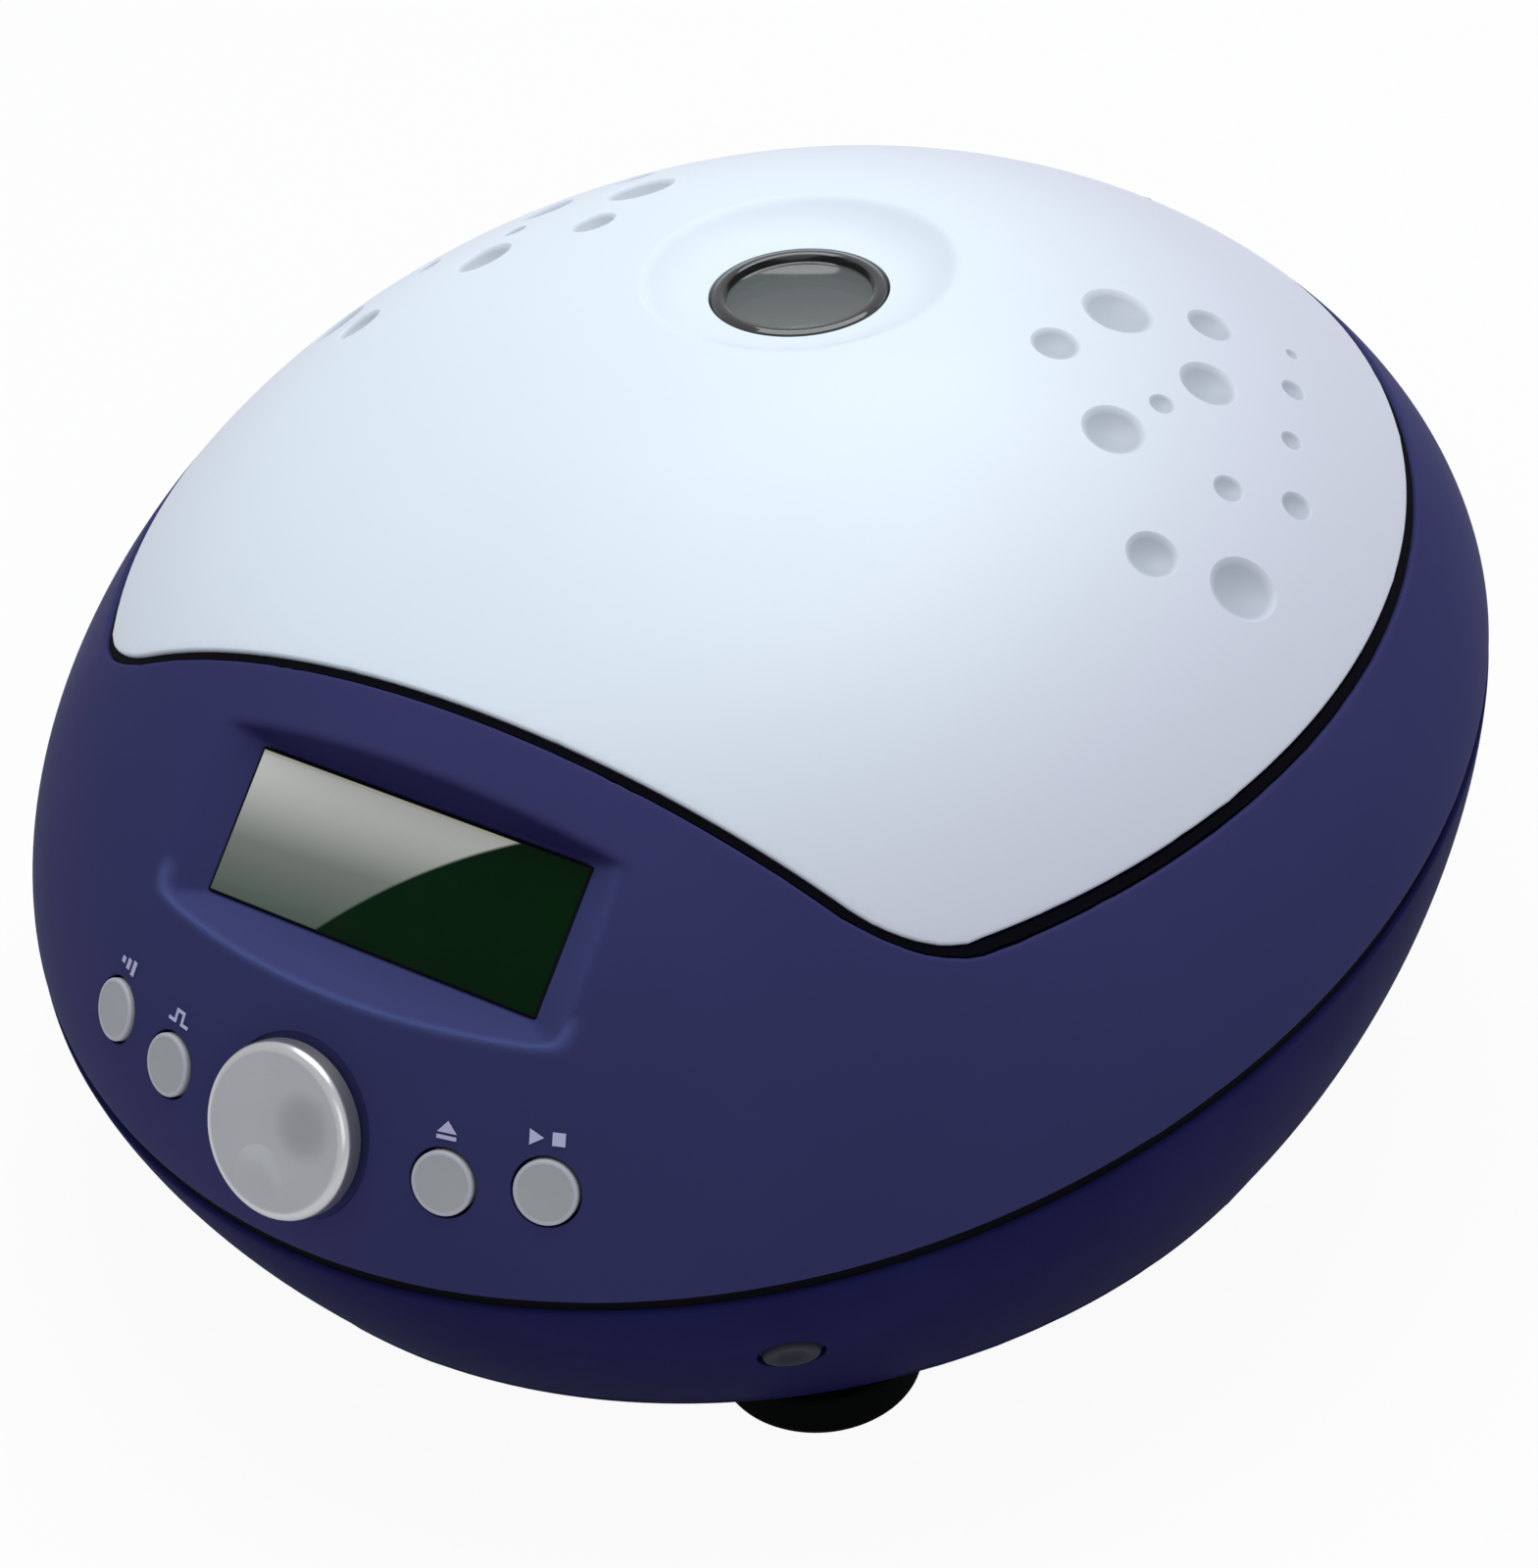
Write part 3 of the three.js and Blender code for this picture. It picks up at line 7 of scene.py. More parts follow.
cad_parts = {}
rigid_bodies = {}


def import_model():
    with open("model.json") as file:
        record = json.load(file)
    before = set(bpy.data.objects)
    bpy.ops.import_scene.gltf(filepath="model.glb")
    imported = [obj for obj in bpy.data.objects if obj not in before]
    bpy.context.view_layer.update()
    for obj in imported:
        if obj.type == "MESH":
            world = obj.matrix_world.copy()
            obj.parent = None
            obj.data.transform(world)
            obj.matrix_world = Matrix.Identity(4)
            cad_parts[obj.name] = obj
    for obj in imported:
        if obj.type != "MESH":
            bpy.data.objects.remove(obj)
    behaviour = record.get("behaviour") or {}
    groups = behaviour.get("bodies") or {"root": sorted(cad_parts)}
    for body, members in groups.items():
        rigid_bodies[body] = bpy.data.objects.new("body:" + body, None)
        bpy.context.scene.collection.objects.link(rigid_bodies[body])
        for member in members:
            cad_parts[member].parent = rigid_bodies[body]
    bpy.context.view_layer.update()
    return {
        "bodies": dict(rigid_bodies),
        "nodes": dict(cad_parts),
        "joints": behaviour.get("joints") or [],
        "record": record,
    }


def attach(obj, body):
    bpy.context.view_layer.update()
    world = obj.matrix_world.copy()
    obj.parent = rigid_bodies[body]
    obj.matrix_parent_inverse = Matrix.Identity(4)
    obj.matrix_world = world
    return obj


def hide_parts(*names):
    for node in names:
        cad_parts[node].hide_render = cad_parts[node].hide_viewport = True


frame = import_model()
mm = 0.001
behind = 2.2 * mm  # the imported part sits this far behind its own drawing
fullTurn = 2 * math.pi
up = Vector((0, 0, 1))

# Camera: where the photograph was taken from
shot = {
    "place": (325.0 * mm, -419.5 * mm, 435.7 * mm),
    "right": (0.8205, 0.5668, -0.0746),
    "upward": (-0.2754, 0.5062, 0.8173),
    "back": (0.5009, -0.6501, 0.5714),
    "lens": 87.058,
    "shift": (0.0106, -0.0416),
}


def addCamera():
    lens = bpy.data.cameras.new("photoCamera")
    lens.sensor_width = 36
    lens.lens = shot["lens"]
    lens.shift_x, lens.shift_y = shot["shift"]
    lens.clip_start = 0.01
    camera = bpy.data.objects.new("photoCamera", lens)
    bpy.context.collection.objects.link(camera)
    axes = Matrix((shot["right"], shot["upward"], shot["back"])).transposed()
    camera.matrix_world = Matrix.Translation(shot["place"]) @ axes.to_4x4()
    bpy.context.scene.camera = camera


addCamera()
print("camera placed")


# Shader maths: an expression on wires adds its own nodes
def tint(red, green, blue):
    def linear(value):
        share = value / 255
        return share / 12.92 if share <= 0.04045 else ((share + 0.055) / 1.055) ** 2.4
    return (linear(red), linear(green), linear(blue), 1)


class Wire:
    def __init__(self, paint, socket):
        self.paint = paint
        self.socket = socket

    def sum(self, operation, first, second):
        return self.paint.add("ShaderNodeMath", {"operation": operation}, {0: first, 1: second})

    def __add__(self, other):
        return self.sum("ADD", self, other)

    def __sub__(self, other):
        return self.sum("SUBTRACT", self, other)

    def __rsub__(self, other):
        return self.sum("SUBTRACT", other, self)

    def __mul__(self, other):
        return self.sum("MULTIPLY", self, other)

    def __truediv__(self, other):
        return self.sum("DIVIDE", self, other)

    def __pow__(self, other):
        return self.sum("POWER", self, other)

    __radd__ = __add__
    __rmul__ = __mul__

    def least(self, other):
        return self.sum("MINIMUM", self, other)

    def most(self, other):
        return self.sum("MAXIMUM", self, other)

    def size(self):
        return self.sum("ABSOLUTE", self, 0)

    def wave(self):
        return self.sum("SINE", self, 0)

    def step(self, start, end):  # 0 below start, 1 above end, smooth between
        settings = {"interpolation_type": "SMOOTHSTEP"}
        return self.paint.add("ShaderNodeMapRange", settings, {0: self, 1: start, 2: end, 3: 0, 4: 1})


class Paint:  # the nodes of one material, or of the sky
    def __init__(self, name, sky=None):
        self.owner = sky or bpy.data.materials.new(name)
        self.owner.use_nodes = True
        self.tree = self.owner.node_tree
        self.tree.nodes.clear()
        if not sky:
            self.object = self.add("ShaderNodeTexCoord", output="Object")

    def add(self, kind, settings=None, values=None, output=0):
        node = self.tree.nodes.new(kind)
        for key, value in (settings or {}).items():
            if key == "stops":
                ramp = node.color_ramp
                while len(ramp.elements) < len(value):
                    ramp.elements.new(0.5)
                for element, (place, colour) in zip(ramp.elements, value):
                    element.position = place
                    element.color = colour
            else:
                setattr(node, key, value)
        for key, value in (values or {}).items():
            if isinstance(value, Wire):
                self.tree.links.new(value.socket, node.inputs[key])
            else:
                node.inputs[key].default_value = value
        return Wire(self, node.outputs[output])

    def axes(self, place=None):
        node = self.add("ShaderNodeSeparateXYZ", None, {0: place or self.object}).socket.node
        return [Wire(self, node.outputs[i]) for i in range(3)]

    def turned(self, matrix):  # coordinates in a seat's own frame
        flat = matrix.inverted()
        values = {"Vector": self.object, "Location": flat.to_translation(), "Rotation": flat.to_euler()}
        return self.axes(self.add("ShaderNodeMapping", {"vector_type": "POINT"}, values))

    def noise(self, size, detail=2):  # size is the width of one blotch
        values = {"Vector": self.object, "Scale": 1 / size, "Detail": detail}
        return self.add("ShaderNodeTexNoise", None, values)

    def mark(self, name):  # a number that the piece's own points carry
        return self.add("ShaderNodeAttribute", {"attribute_name": name}, output="Fac")

    def blend(self, share, first, second):
        return self.add("ShaderNodeMix", {"data_type": "RGBA"}, {0: share, 6: first, 7: second}, 2)

    def bump(self, height, depth, strength):
        return self.add("ShaderNodeBump", None, {"Height": height, "Distance": depth, "Strength": strength})

    def finish(self, **values):
        sockets = {
            "colour": "Base Color",
            "rough": "Roughness",
            "metal": "Metallic",
            "normal": "Normal",
            "coat": "Coat Weight",
            "coatRough": "Coat Roughness",
            "alpha": "Alpha",
            "shine": "Specular IOR Level",
        }
        wired = {sockets[key]: value for key, value in values.items()}
        surface = self.add("ShaderNodeBsdfPrincipled", None, wired)
        return self.close(surface, "ShaderNodeOutputMaterial")

    def close(self, surface, kind):
        end = self.tree.nodes.new(kind)
        self.tree.links.new(surface.socket, end.inputs["Surface"])
        return self.owner


# Working habits
def rest():
    if bpy.context.object and bpy.context.object.mode != "OBJECT":
        bpy.ops.object.mode_set(mode="OBJECT")
    bpy.ops.object.select_all(action="DESELECT")


def pick(piece):
    rest()
    piece.select_set(True)
    bpy.context.view_layer.objects.active = piece
    return piece


def twin(piece, name):
    other = piece.copy()
    other.data = piece.data.copy()
    other.name = name
    bpy.context.collection.objects.link(other)
    return other


def erase(piece):
    bpy.data.objects.remove(piece, do_unlink=True)


def anywhere(place):
    return True


def choose(piece, test, kind="verts"):  # edit mode, with what passes the test selected
    pick(piece)
    bpy.ops.object.mode_set(mode="EDIT")
    bpy.ops.mesh.select_mode(type="VERT" if kind == "verts" else "FACE")
    bpy.ops.mesh.select_all(action="DESELECT")
    web = bmesh.from_edit_mesh(piece.data)
    for item in getattr(web, kind):
        place = item.co if kind == "verts" else item.calc_center_median()
        if test(place):
            item.select_set(True)
    web.select_flush_mode()
    bmesh.update_edit_mesh(piece.data)


def marked(piece, name, reading):  # gives every point a number, for a material to read
    layer = piece.data.attributes.new(name, "FLOAT", "POINT")
    for vert, item in zip(piece.data.vertices, layer.data):
        item.value = reading(vert.co)


def within(value, start, end):  # 0 at start, 1 at end
    return max(0, min(1, (value - start) / (end - start)))


def applied(piece, kind, settings):
    pick(piece)
    modifier = piece.modifiers.new("work", kind)
    for key, value in settings.items():
        setattr(modifier, key, value)
    bpy.ops.object.modifier_apply(modifier="work")
    return piece


def soften(piece, width, segments=3, angle=30):
    settings = {
        "width": width,
        "segments": segments,
        "limit_method": "ANGLE",
        "angle_limit": math.radians(angle),
        "use_clamp_overlap": True,
    }
    return applied(piece, "BEVEL", settings)


def carve(piece, tool, operation="DIFFERENCE"):
    applied(piece, "BOOLEAN", {"object": tool, "operation": operation, "solver": "EXACT"})
    erase(tool)
    return piece


sameSpot = 0.002 * mm  # points nearer to each other than this are one


def lathe(name, profile, sides=96):  # profile of (radius, height), turned about Z
    rest()
    bpy.ops.mesh.primitive_plane_add(size=mm, location=(0, 0, 0))
    piece = bpy.context.object
    piece.name = name
    bpy.ops.object.mode_set(mode="EDIT")
    bpy.ops.mesh.select_mode(type="VERT")
    bpy.ops.mesh.select_all(action="SELECT")
    bpy.ops.mesh.merge(type="CENTER")
    radius, height = profile[0]
    bpy.ops.transform.translate(value=(radius, 0, height))
    for nextRadius, nextHeight in profile[1:]:
        step = (nextRadius - radius, 0, nextHeight - height)
        bpy.ops.mesh.extrude_region_move(TRANSFORM_OT_translate={"value": step})
        radius, height = nextRadius, nextHeight
    bpy.ops.mesh.select_all(action="SELECT")
    bpy.ops.mesh.spin(steps=sides, angle=fullTurn, center=(0, 0, 0), axis=(0, 0, 1), use_auto_merge=False)
    bpy.ops.mesh.select_all(action="SELECT")
    bpy.ops.mesh.remove_doubles(threshold=sameSpot)
    bpy.ops.mesh.normals_make_consistent(inside=False)
    bpy.ops.object.mode_set(mode="OBJECT")
    return piece


through = (-9 * mm, 6 * mm)  # how far the tool of a hole in the shell reaches, in and out


def bore(radius, low, high, sides=64):  # a plain round tool about Z
    return lathe("boreTool", [(0, low), (radius, low), (radius, high), (0, high)], sides)


def block(name, low, high):  # a box between two corners, a start for other work
    rest()
    middle = [(a + b) / 2 for a, b in zip(low, high)]
    bpy.ops.mesh.primitive_cube_add(size=1, location=middle)
    piece = bpy.context.object
    piece.name = name
    piece.scale = [b - a for a, b in zip(low, high)]
    bpy.ops.object.transform_apply(location=True, rotation=True, scale=True)
    return piece


def placed(piece, matrix):
    piece.data.transform(matrix)
    piece.data.update()
    return piece


def millimetres(points):  # for an outline that is written in millimetres
    return [(x * mm, y * mm) for x, y in points]


def arc(centre, size, start, end, steps):  # points of an ellipse's arc, in degrees
    points = []
    for i in range(steps + 1):
        turn = math.radians(start + (end - start) * i / steps)
        points.append((centre[0] + size[0] * math.cos(turn), centre[1] + size[1] * math.sin(turn)))
    return points


def dress(piece, body, material, nodes=(), smooth=30):
    pick(piece)
    bpy.ops.object.shade_smooth_by_angle(angle=math.radians(smooth), keep_sharp_edges=True)
    piece.data.materials.clear()
    piece.data.materials.append(material)
    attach(piece, body)
    if nodes:
        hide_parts(*nodes)


fitting = {"flat": 0.5, "segments": 2, "bend": 35, "smooth": 40}  # how a CAD node's shape is eased


def merged(node):  # a copy of a CAD node's shape, its points joined
    piece = frame["nodes"][node].copy()
    piece.data = piece.data.copy()
    piece.name = "".join(word.capitalize() if i else word for i, word in enumerate(node.split("_")))
    piece.parent = None
    bpy.context.collection.objects.link(piece)
    piece.matrix_world = Matrix.Identity(4)
    pick(piece)
    bpy.ops.object.mode_set(mode="EDIT")
    bpy.ops.mesh.select_all(action="SELECT")
    bpy.ops.mesh.remove_doubles(threshold=sameSpot)
    bpy.ops.mesh.dissolve_limited(angle_limit=math.radians(fitting["flat"]))
    bpy.ops.object.mode_set(mode="OBJECT")
    return piece


def softened(node, body, material, width):  # the same with its edges eased
    piece = soften(merged(node), width, fitting["segments"], fitting["bend"])
    dress(piece, body, material, [node], fitting["smooth"])


# The egg that the shells are cut from
egg = {
    "halfWidth": 122.5 * mm,
    "frontReach": 130.8 * mm,
    "rearReach": 129.1 * mm,
    "crownRise": 69 * mm,
    "bellyDrop": 110 * mm,
    "crown": (1.58, 2.11),
    "belly": (1.4, 2.78),
    "lowest": 0.82,
    "centre": (0, 0.5 * mm + behind, 70.5 * mm),
    "noseDown": math.radians(12),
    "turns": 288,
    "crownRings": 90,
    "bellyRings": 48,
    "join": 0.01 * mm,  # points this near each other are one, where the turned skin closes
    "skin": {"halfWidth": 122.4 * mm, "rearReach": 128.5 * mm, "crownRise": 68.8 * mm},
}
eggFrame = Matrix.Translation(egg["centre"]) @ Matrix.Rotation(egg["noseDown"], 4, "X")
eggBack = eggFrame.inverted()


def eggSpread(level):
    fall, swell = egg["crown"] if level >= 0 else egg["belly"]
    return max(0, 1 - abs(level) ** fall) ** (1 / swell)


def eggSizes(level, turn, skin):
    sizes = {**egg, **egg["skin"]} if skin else egg
    along = sizes["frontReach"] if math.sin(turn) < 0 else sizes["rearReach"]
    rise = sizes["crownRise"] if level >= 0 else sizes["bellyDrop"]
    return sizes["halfWidth"], along, rise


def eggPoint(level, turn, skin=False):
    across, along, rise = eggSizes(level, turn, skin)
    spread = eggSpread(level)
    place = Vector((across * spread * math.cos(turn), along * spread * math.sin(turn), rise * level))
    return eggFrame @ place


def eggOut(level, turn, skin=False):
    across, along, rise = eggSizes(level, turn, skin)
    fall, swell = egg["crown"] if level >= 0 else egg["belly"]
    size = abs(level)
    spread = eggSpread(level)
    slope = spread / (1 - size ** fall) * fall / swell * size ** (fall - 1) * (1 if level >= 0 else -1)
    way = Vector((math.cos(turn) / across, math.sin(turn) / along, slope / rise))
    return (eggFrame.to_3x3() @ way).normalized()


def eggSeat(level, turn):  # +Z outwards, +X level and to the right
    out = eggOut(level, turn)
    right = up.cross(out).normalized()
    seat = Matrix((right, out.cross(right), out)).transposed().to_4x4()
    seat.translation = eggPoint(level, turn)
    return seat


def eggReading(point):  # the level and turn of a skin's nearest point
    local = eggBack @ point
    across, along, rise = eggSizes(local.z, math.atan2(local.y, local.x), True)
    turn = math.atan2(local.y / along, local.x / across)
    reach = math.hypot(local.y / along, local.x / across)
    height = abs(local.z) / rise
    fall, swell = egg["crown"] if local.z >= 0 else egg["belly"]
    grow = 1.0
    for _ in range(6):
        over = (grow * height) ** fall + (grow * reach) ** swell - 1
        slope = (fall * (grow * height) ** fall + swell * (grow * reach) ** swell) / grow
        grow -= over / slope
    level = math.copysign(min(grow * height, 0.999999), local.z)
    return level, turn


def addEgg():
    rings = [math.sin(math.pi / 2 * (1 - i / egg["crownRings"])) for i in range(egg["crownRings"])]
    lowest = math.asin(egg["lowest"])
    rings += [-math.sin(lowest * i / egg["bellyRings"]) for i in range(egg["bellyRings"] + 1)]
    profile = [(eggSpread(level), level) for level in rings]
    piece = lathe("eggSkin", profile + [(0, profile[-1][1])], egg["turns"])
    sizes = {**egg, **egg["skin"]}
    halves = [
        (anywhere, (sizes["halfWidth"], 1, 1)),
        (lambda place: place.y < 0, (1, sizes["frontReach"], 1)),
        (lambda place: place.y > 0, (1, sizes["rearReach"], 1)),
        (lambda place: place.z > 0, (1, 1, sizes["crownRise"])),
        (lambda place: place.z < 0, (1, 1, sizes["bellyDrop"])),
    ]
    for test, value in halves:
        choose(piece, test)
        bpy.ops.transform.resize(value=value, center_override=(0, 0, 0))
    choose(piece, anywhere)
    bpy.ops.mesh.remove_doubles(threshold=egg["join"])
    rest()
    return piece


snapReach = 0.2 * mm  # a point farther from the egg than this was cut on purpose


def snap(piece, test, wall=0.0):  # brings a skin's own points back onto the egg, or its inner wall
    inner = piece.vertex_groups.get("inner")
    for vert in piece.data.vertices:
        if not test(vert.co):
            continue
        inside = any(g.group == inner.index and g.weight > 0.5 for g in vert.groups) if inner else False
        level, turn = eggReading(vert.co)
        place = eggPoint(level, turn, True)
        out = eggOut(level, turn, True)
        target = place - out * (wall if inside else 0)
        if (target - vert.co).length < snapReach:
            vert.co = target


# The lid's outline is one side view pushed through the egg: a front plane, a side plane and a round horn
outline = {
    "front": 64 * mm,
    "side": 29.3 * mm,
    "horn": 8 * mm,
    "rise": math.radians(6.4),
    "gap": 1.5 * mm,
    "steps": 8,
}
hornSlope = outline["rise"] - egg["noseDown"]
hornY = outline["horn"] - outline["front"]
hornZ = outline["side"] + hornY * math.tan(hornSlope) + outline["horn"] / math.cos(hornSlope)
hornPlace = Vector((0, hornY, hornZ))


def outlinePlanes(grow):  # planes round the lid in the egg's own axes, each with its outward way
    planes = []
    for i in range(outline["steps"] + 1):
        turn = math.pi + (math.pi / 2 + hornSlope) * i / outline["steps"]
        way = Vector((0, math.cos(turn), math.sin(turn)))
        planes.append((hornPlace + way * (outline["horn"] + grow), way))
    return planes


def cutPlane(piece, point, way, clear=False, test=anywhere):  # clear takes away what lies beyond the plane
    choose(piece, test, "faces")
    bpy.ops.mesh.bisect(plane_co=point, plane_no=way, clear_outer=clear)


def clearInside(piece, planes):  # takes away what lies inside all the planes
    choose(piece, lambda place: all((place - point).dot(way) < 0 for point, way in planes), "faces")
    bpy.ops.mesh.delete(type="FACE")
    rest()


def sunken(piece, depth, thick):  # lets a skin down below the surface and gives it a thickness
    applied(piece, "DISPLACE", {"strength": -depth, "mid_level": 0})
    applied(piece, "SOLIDIFY", {"thickness": thick, "offset": -1})


def shell(piece, wall, lip, steps=4):  # gives a skin its wall, with a rounded lip at each open edge
    rest()
    web = bmesh.new()
    web.from_mesh(piece.data)
    bmesh.ops.remove_doubles(web, verts=web.verts, dist=0.1 * mm)
    web.normal_update()
    group = web.verts.layers.deform.verify()
    faces = list(web.faces)
    verts = list(web.verts)
    rims = [edge for edge in web.edges if edge.is_boundary]
    inner = {}
    for vert in verts:
        inner[vert] = web.verts.new(vert.co - vert.normal * wall)
        inner[vert][group][0] = 1
    rings = {}
    for vert in dict.fromkeys(vert for edge in rims for vert in edge.verts):  # each once, in order
        along = Vector()
        for edge in vert.link_edges:
            if edge.is_boundary:
                loop = edge.link_loops[0]
                along += (loop.link_loop_next.vert.co - loop.vert.co).normalized()
        out = along.cross(vert.normal).normalized()
        ring = [vert]
        for i in range(1, steps + 1):
            turn = math.pi / 2 * i / steps
            step = out * math.sin(turn) - vert.normal * (1 - math.cos(turn))
            ring.append(web.verts.new(vert.co + lip * step))
        ring.append(web.verts.new(vert.co + out * lip - vert.normal * wall))
        ring.append(inner[vert])
        rings[vert] = ring
    for face in faces:
        web.faces.new([inner[vert] for vert in reversed(face.verts)])
    for edge in rims:
        loop = edge.link_loops[0]
        first, last = rings[loop.vert], rings[loop.link_loop_next.vert]
        for i in range(len(first) - 1):
            web.faces.new((last[i], first[i], first[i + 1], last[i + 1]))
    web.to_mesh(piece.data)
    web.free()
    piece.vertex_groups.new(name="inner")


def softLeast(first, second, reach):  # the lesser of two heights, with a round joint
    share = max(0, min(1, 0.5 + 0.5 * (second - first) / reach))
    return second + (first - second) * share - reach * share * (1 - share)


eggSkin = addEgg()
print("egg turned:", len(eggSkin.data.vertices), "points")


# Finishes
def moulded(name, colour, shade, rough, grain=0.5, shine=0.35):  # plastic or rubber with a fine grain
    paint = Paint(name)
    patch = paint.noise(38 * mm, 3).step(0.35, 0.65)
    pores = paint.noise(0.55 * mm)
    skin = paint.noise(9 * mm)
    return paint.finish(
        colour=paint.blend(patch * 0.6 + skin * 0.3, tint(*colour), tint(*shade)),
        rough=rough + skin * 0.06 + pores * 0.05,
        normal=paint.bump(pores, 0.02 * mm, grain),
        shine=shine,
    )


def metal(name, colour, shade, rough):  # plain metal, clouded and finely scratched
    paint = Paint(name)
    cloud = paint.noise(14 * mm, 3)
    fine = paint.noise(0.5 * mm)
    return paint.finish(
        colour=paint.blend(cloud, tint(*colour), tint(*shade)),
        rough=rough + cloud * 0.08 + fine * 0.06,
        metal=1.0,
        normal=paint.bump(fine, 0.01 * mm, 0.2),
    )


def paintUpper():
    paint = Paint("shellBlue")
    patch = paint.noise(45 * mm, 3).step(0.3, 0.7)
    pores = paint.noise(0.5 * mm)
    body = paint.blend(patch * 0.5, tint(57, 58, 104), tint(52, 53, 97))
    # painted shade: the "shade" mark darkens the recess's roof and floor
    deep = paint.blend(paint.mark("shade") * 0.7, body, tint(24, 21, 70))
    # painted light: the "ridge" mark pales the ridge under the display, the shelf, the right wall and the
    # lower-left mitre
    return paint.finish(
        colour=paint.blend(paint.mark("ridge") * 0.5, deep, tint(84, 99, 156)),
        rough=0.46 + patch * 0.05 + pores * 0.05,
        normal=paint.bump(pores, 0.015 * mm, 0.35),
        shine=0.015,
    )


def paintLid():  # white, with painted light: brightest and coolest round a spot near the middle and a little greyer towards the rim; painted shade in the dimples
    paint = Paint("lidWhite")
    x, y, z = paint.axes()
    # painted light round a spot near the lid's middle, fading to painted shade towards the rim
    away = ((x + 15 * mm) ** 2 + (y + 10 * mm) ** 2) ** 0.5
    patch = paint.noise(42 * mm, 3).step(0.3, 0.7)
    pores = paint.noise(0.55 * mm)
    middle = paint.blend(patch * 0.4, tint(229, 241, 251), tint(225, 237, 248))
    plain = paint.blend(away.step(55 * mm, 120 * mm), middle, tint(211, 215, 230))
    # painted shade in the dimples, by how deep in each a point lies
    return paint.finish(
        colour=paint.blend(paint.mark("dip") * 0.8, plain, tint(172, 180, 192)),
        rough=0.34 + patch * 0.05 + pores * 0.05,
        normal=paint.bump(pores, 0.015 * mm, 0.25),
        shine=0.25,
    )


def paintKeys():  # grey, with a painted highlight: a paler line round each key's top edge
    paint = Paint("keyGrey")
    patch = paint.noise(6 * mm)
    pores = paint.noise(0.4 * mm)
    face = paint.blend(patch, tint(174, 177, 180), tint(167, 170, 174))
    # painted highlight: the paler line on each key's rounded top edge
    return paint.finish(
        colour=paint.blend(paint.mark("rim"), face, tint(188, 188, 200)),
        rough=0.45 + pores * 0.06,
        normal=paint.bump(pores, 0.015 * mm, 0.35),
        shine=0.3,
    )


shellBlue = paintUpper()
bellyBlue = moulded("bellyBlue", (31, 32, 80), (25, 26, 70), 0.52, 0.35, 0.015)
lidWhite = paintLid()
linerGrey = moulded("linerGrey", (176, 184, 192), (164, 172, 182), 0.5)
keyGrey = paintKeys()
blackPlastic = moulded("blackPlastic", (22, 23, 25), (17, 18, 20), 0.48, 0.5, 0.25)
footRubber = moulded("footRubber", (8, 9, 9), (5, 6, 6), 0.75, 1.0, 0.03)
plugGrey = moulded("plugGrey", (46, 48, 60), (38, 40, 52), 0.55, 0.5, 0.15)
# the black of the dark sheets that stand in for the shade in the lid's and the housing's gaps
gapShadeBlack = moulded("gapShadeBlack", (7, 7, 16), (5, 5, 12), 0.7, 0.6, 0.05)
paleMark = moulded("paleMark", (192, 192, 226), (180, 180, 216), 0.5)
steel = metal("steel", (190, 193, 196), (168, 172, 176), 0.24)
alloy = metal("alloy", (158, 162, 167), (136, 140, 146), 0.36)
satin = metal("satinSilver", (168, 170, 173), (158, 160, 163), 0.3)


def paintBoard():
    paint = Paint("circuitBoard")
    values = {"Vector": paint.object, "Scale": 1 / (3.2 * mm), "Randomness": 0.6}
    tracks = paint.add("ShaderNodeTexVoronoi", {"feature": "DISTANCE_TO_EDGE"}, values).step(0.04, 0.08)
    return paint.finish(
        colour=paint.blend(tracks, tint(70, 140, 88), tint(24, 84, 50)),
        rough=0.4 + tracks * 0.1,
        normal=paint.bump(1 - tracks, 0.05 * mm, 0.4),
    )


circuitBoard = paintBoard()
print("finishes mixed")

# Lid: a white shell with a round dish at its window and a scatter of shallow dimples
lid = {
    "wall": 2.6 * mm,
    "lip": 0.6 * mm,
    "spindle": Vector((0, 23 * mm + behind, 0)),
    "holeRadius": 15 * mm,
    "holeReach": 8 * mm,
    "dishRadius": 26.7 * mm,
    "dishZone": 34 * mm,
    "dishFloor": 136.6 * mm,
    "dishDepth": 4.6 * mm,
    "dishRound": 1.1 * mm,
}
atSpindle = Matrix.Translation(lid["spindle"])
dimple = {
    "depth": 1.9 * mm,
    "share": 0.36,  # of the dimple's radius, where that is less deep
    "reach": 0.56,  # of its width, from its middle
    "below": 2.4 * mm,  # deeper points lie on the lid's inner side
    # where the painted shade in a dimple starts, and where it is full
    "shadeFrom": 0.02 * mm,
    "shadeFull": 0.45,  # of its depth
}
dimples = [  # places on the right half, and widths, in millimetres; the left half mirrors them
    (48.2, 44.5, 134.9, 13.0),
    (46.1, 28.0, 136.5, 8.4),
    (58.8, 55.8, 129.2, 8.6),
    (66.9, 40.6, 128.2, 10.6),
    (64.9, 29.0, 129.9, 4.6),
    (62.8, 17.5, 130.7, 11.0),
    (69.2, 64.4, 122.0, 2.6),
    (74.7, 54.7, 121.7, 4.8),
    (80.9, 42.4, 120.4, 4.1),
    (80.4, 22.4, 122.2, 5.5),
    (88.2, 30.3, 116.9, 5.8),
    (78.9, 1.1, 121.6, 9.0),
    (90.7, 8.2, 114.9, 12.0),
]


def dishHeight(distance):
    share = max(0, (distance - lid["holeRadius"]) / (lid["dishRadius"] - lid["holeRadius"]))
    return lid["dishFloor"] + lid["dishDepth"] * share * share


def fromSpindle(place):
    return math.hypot(place.x, place.y - lid["spindle"].y)


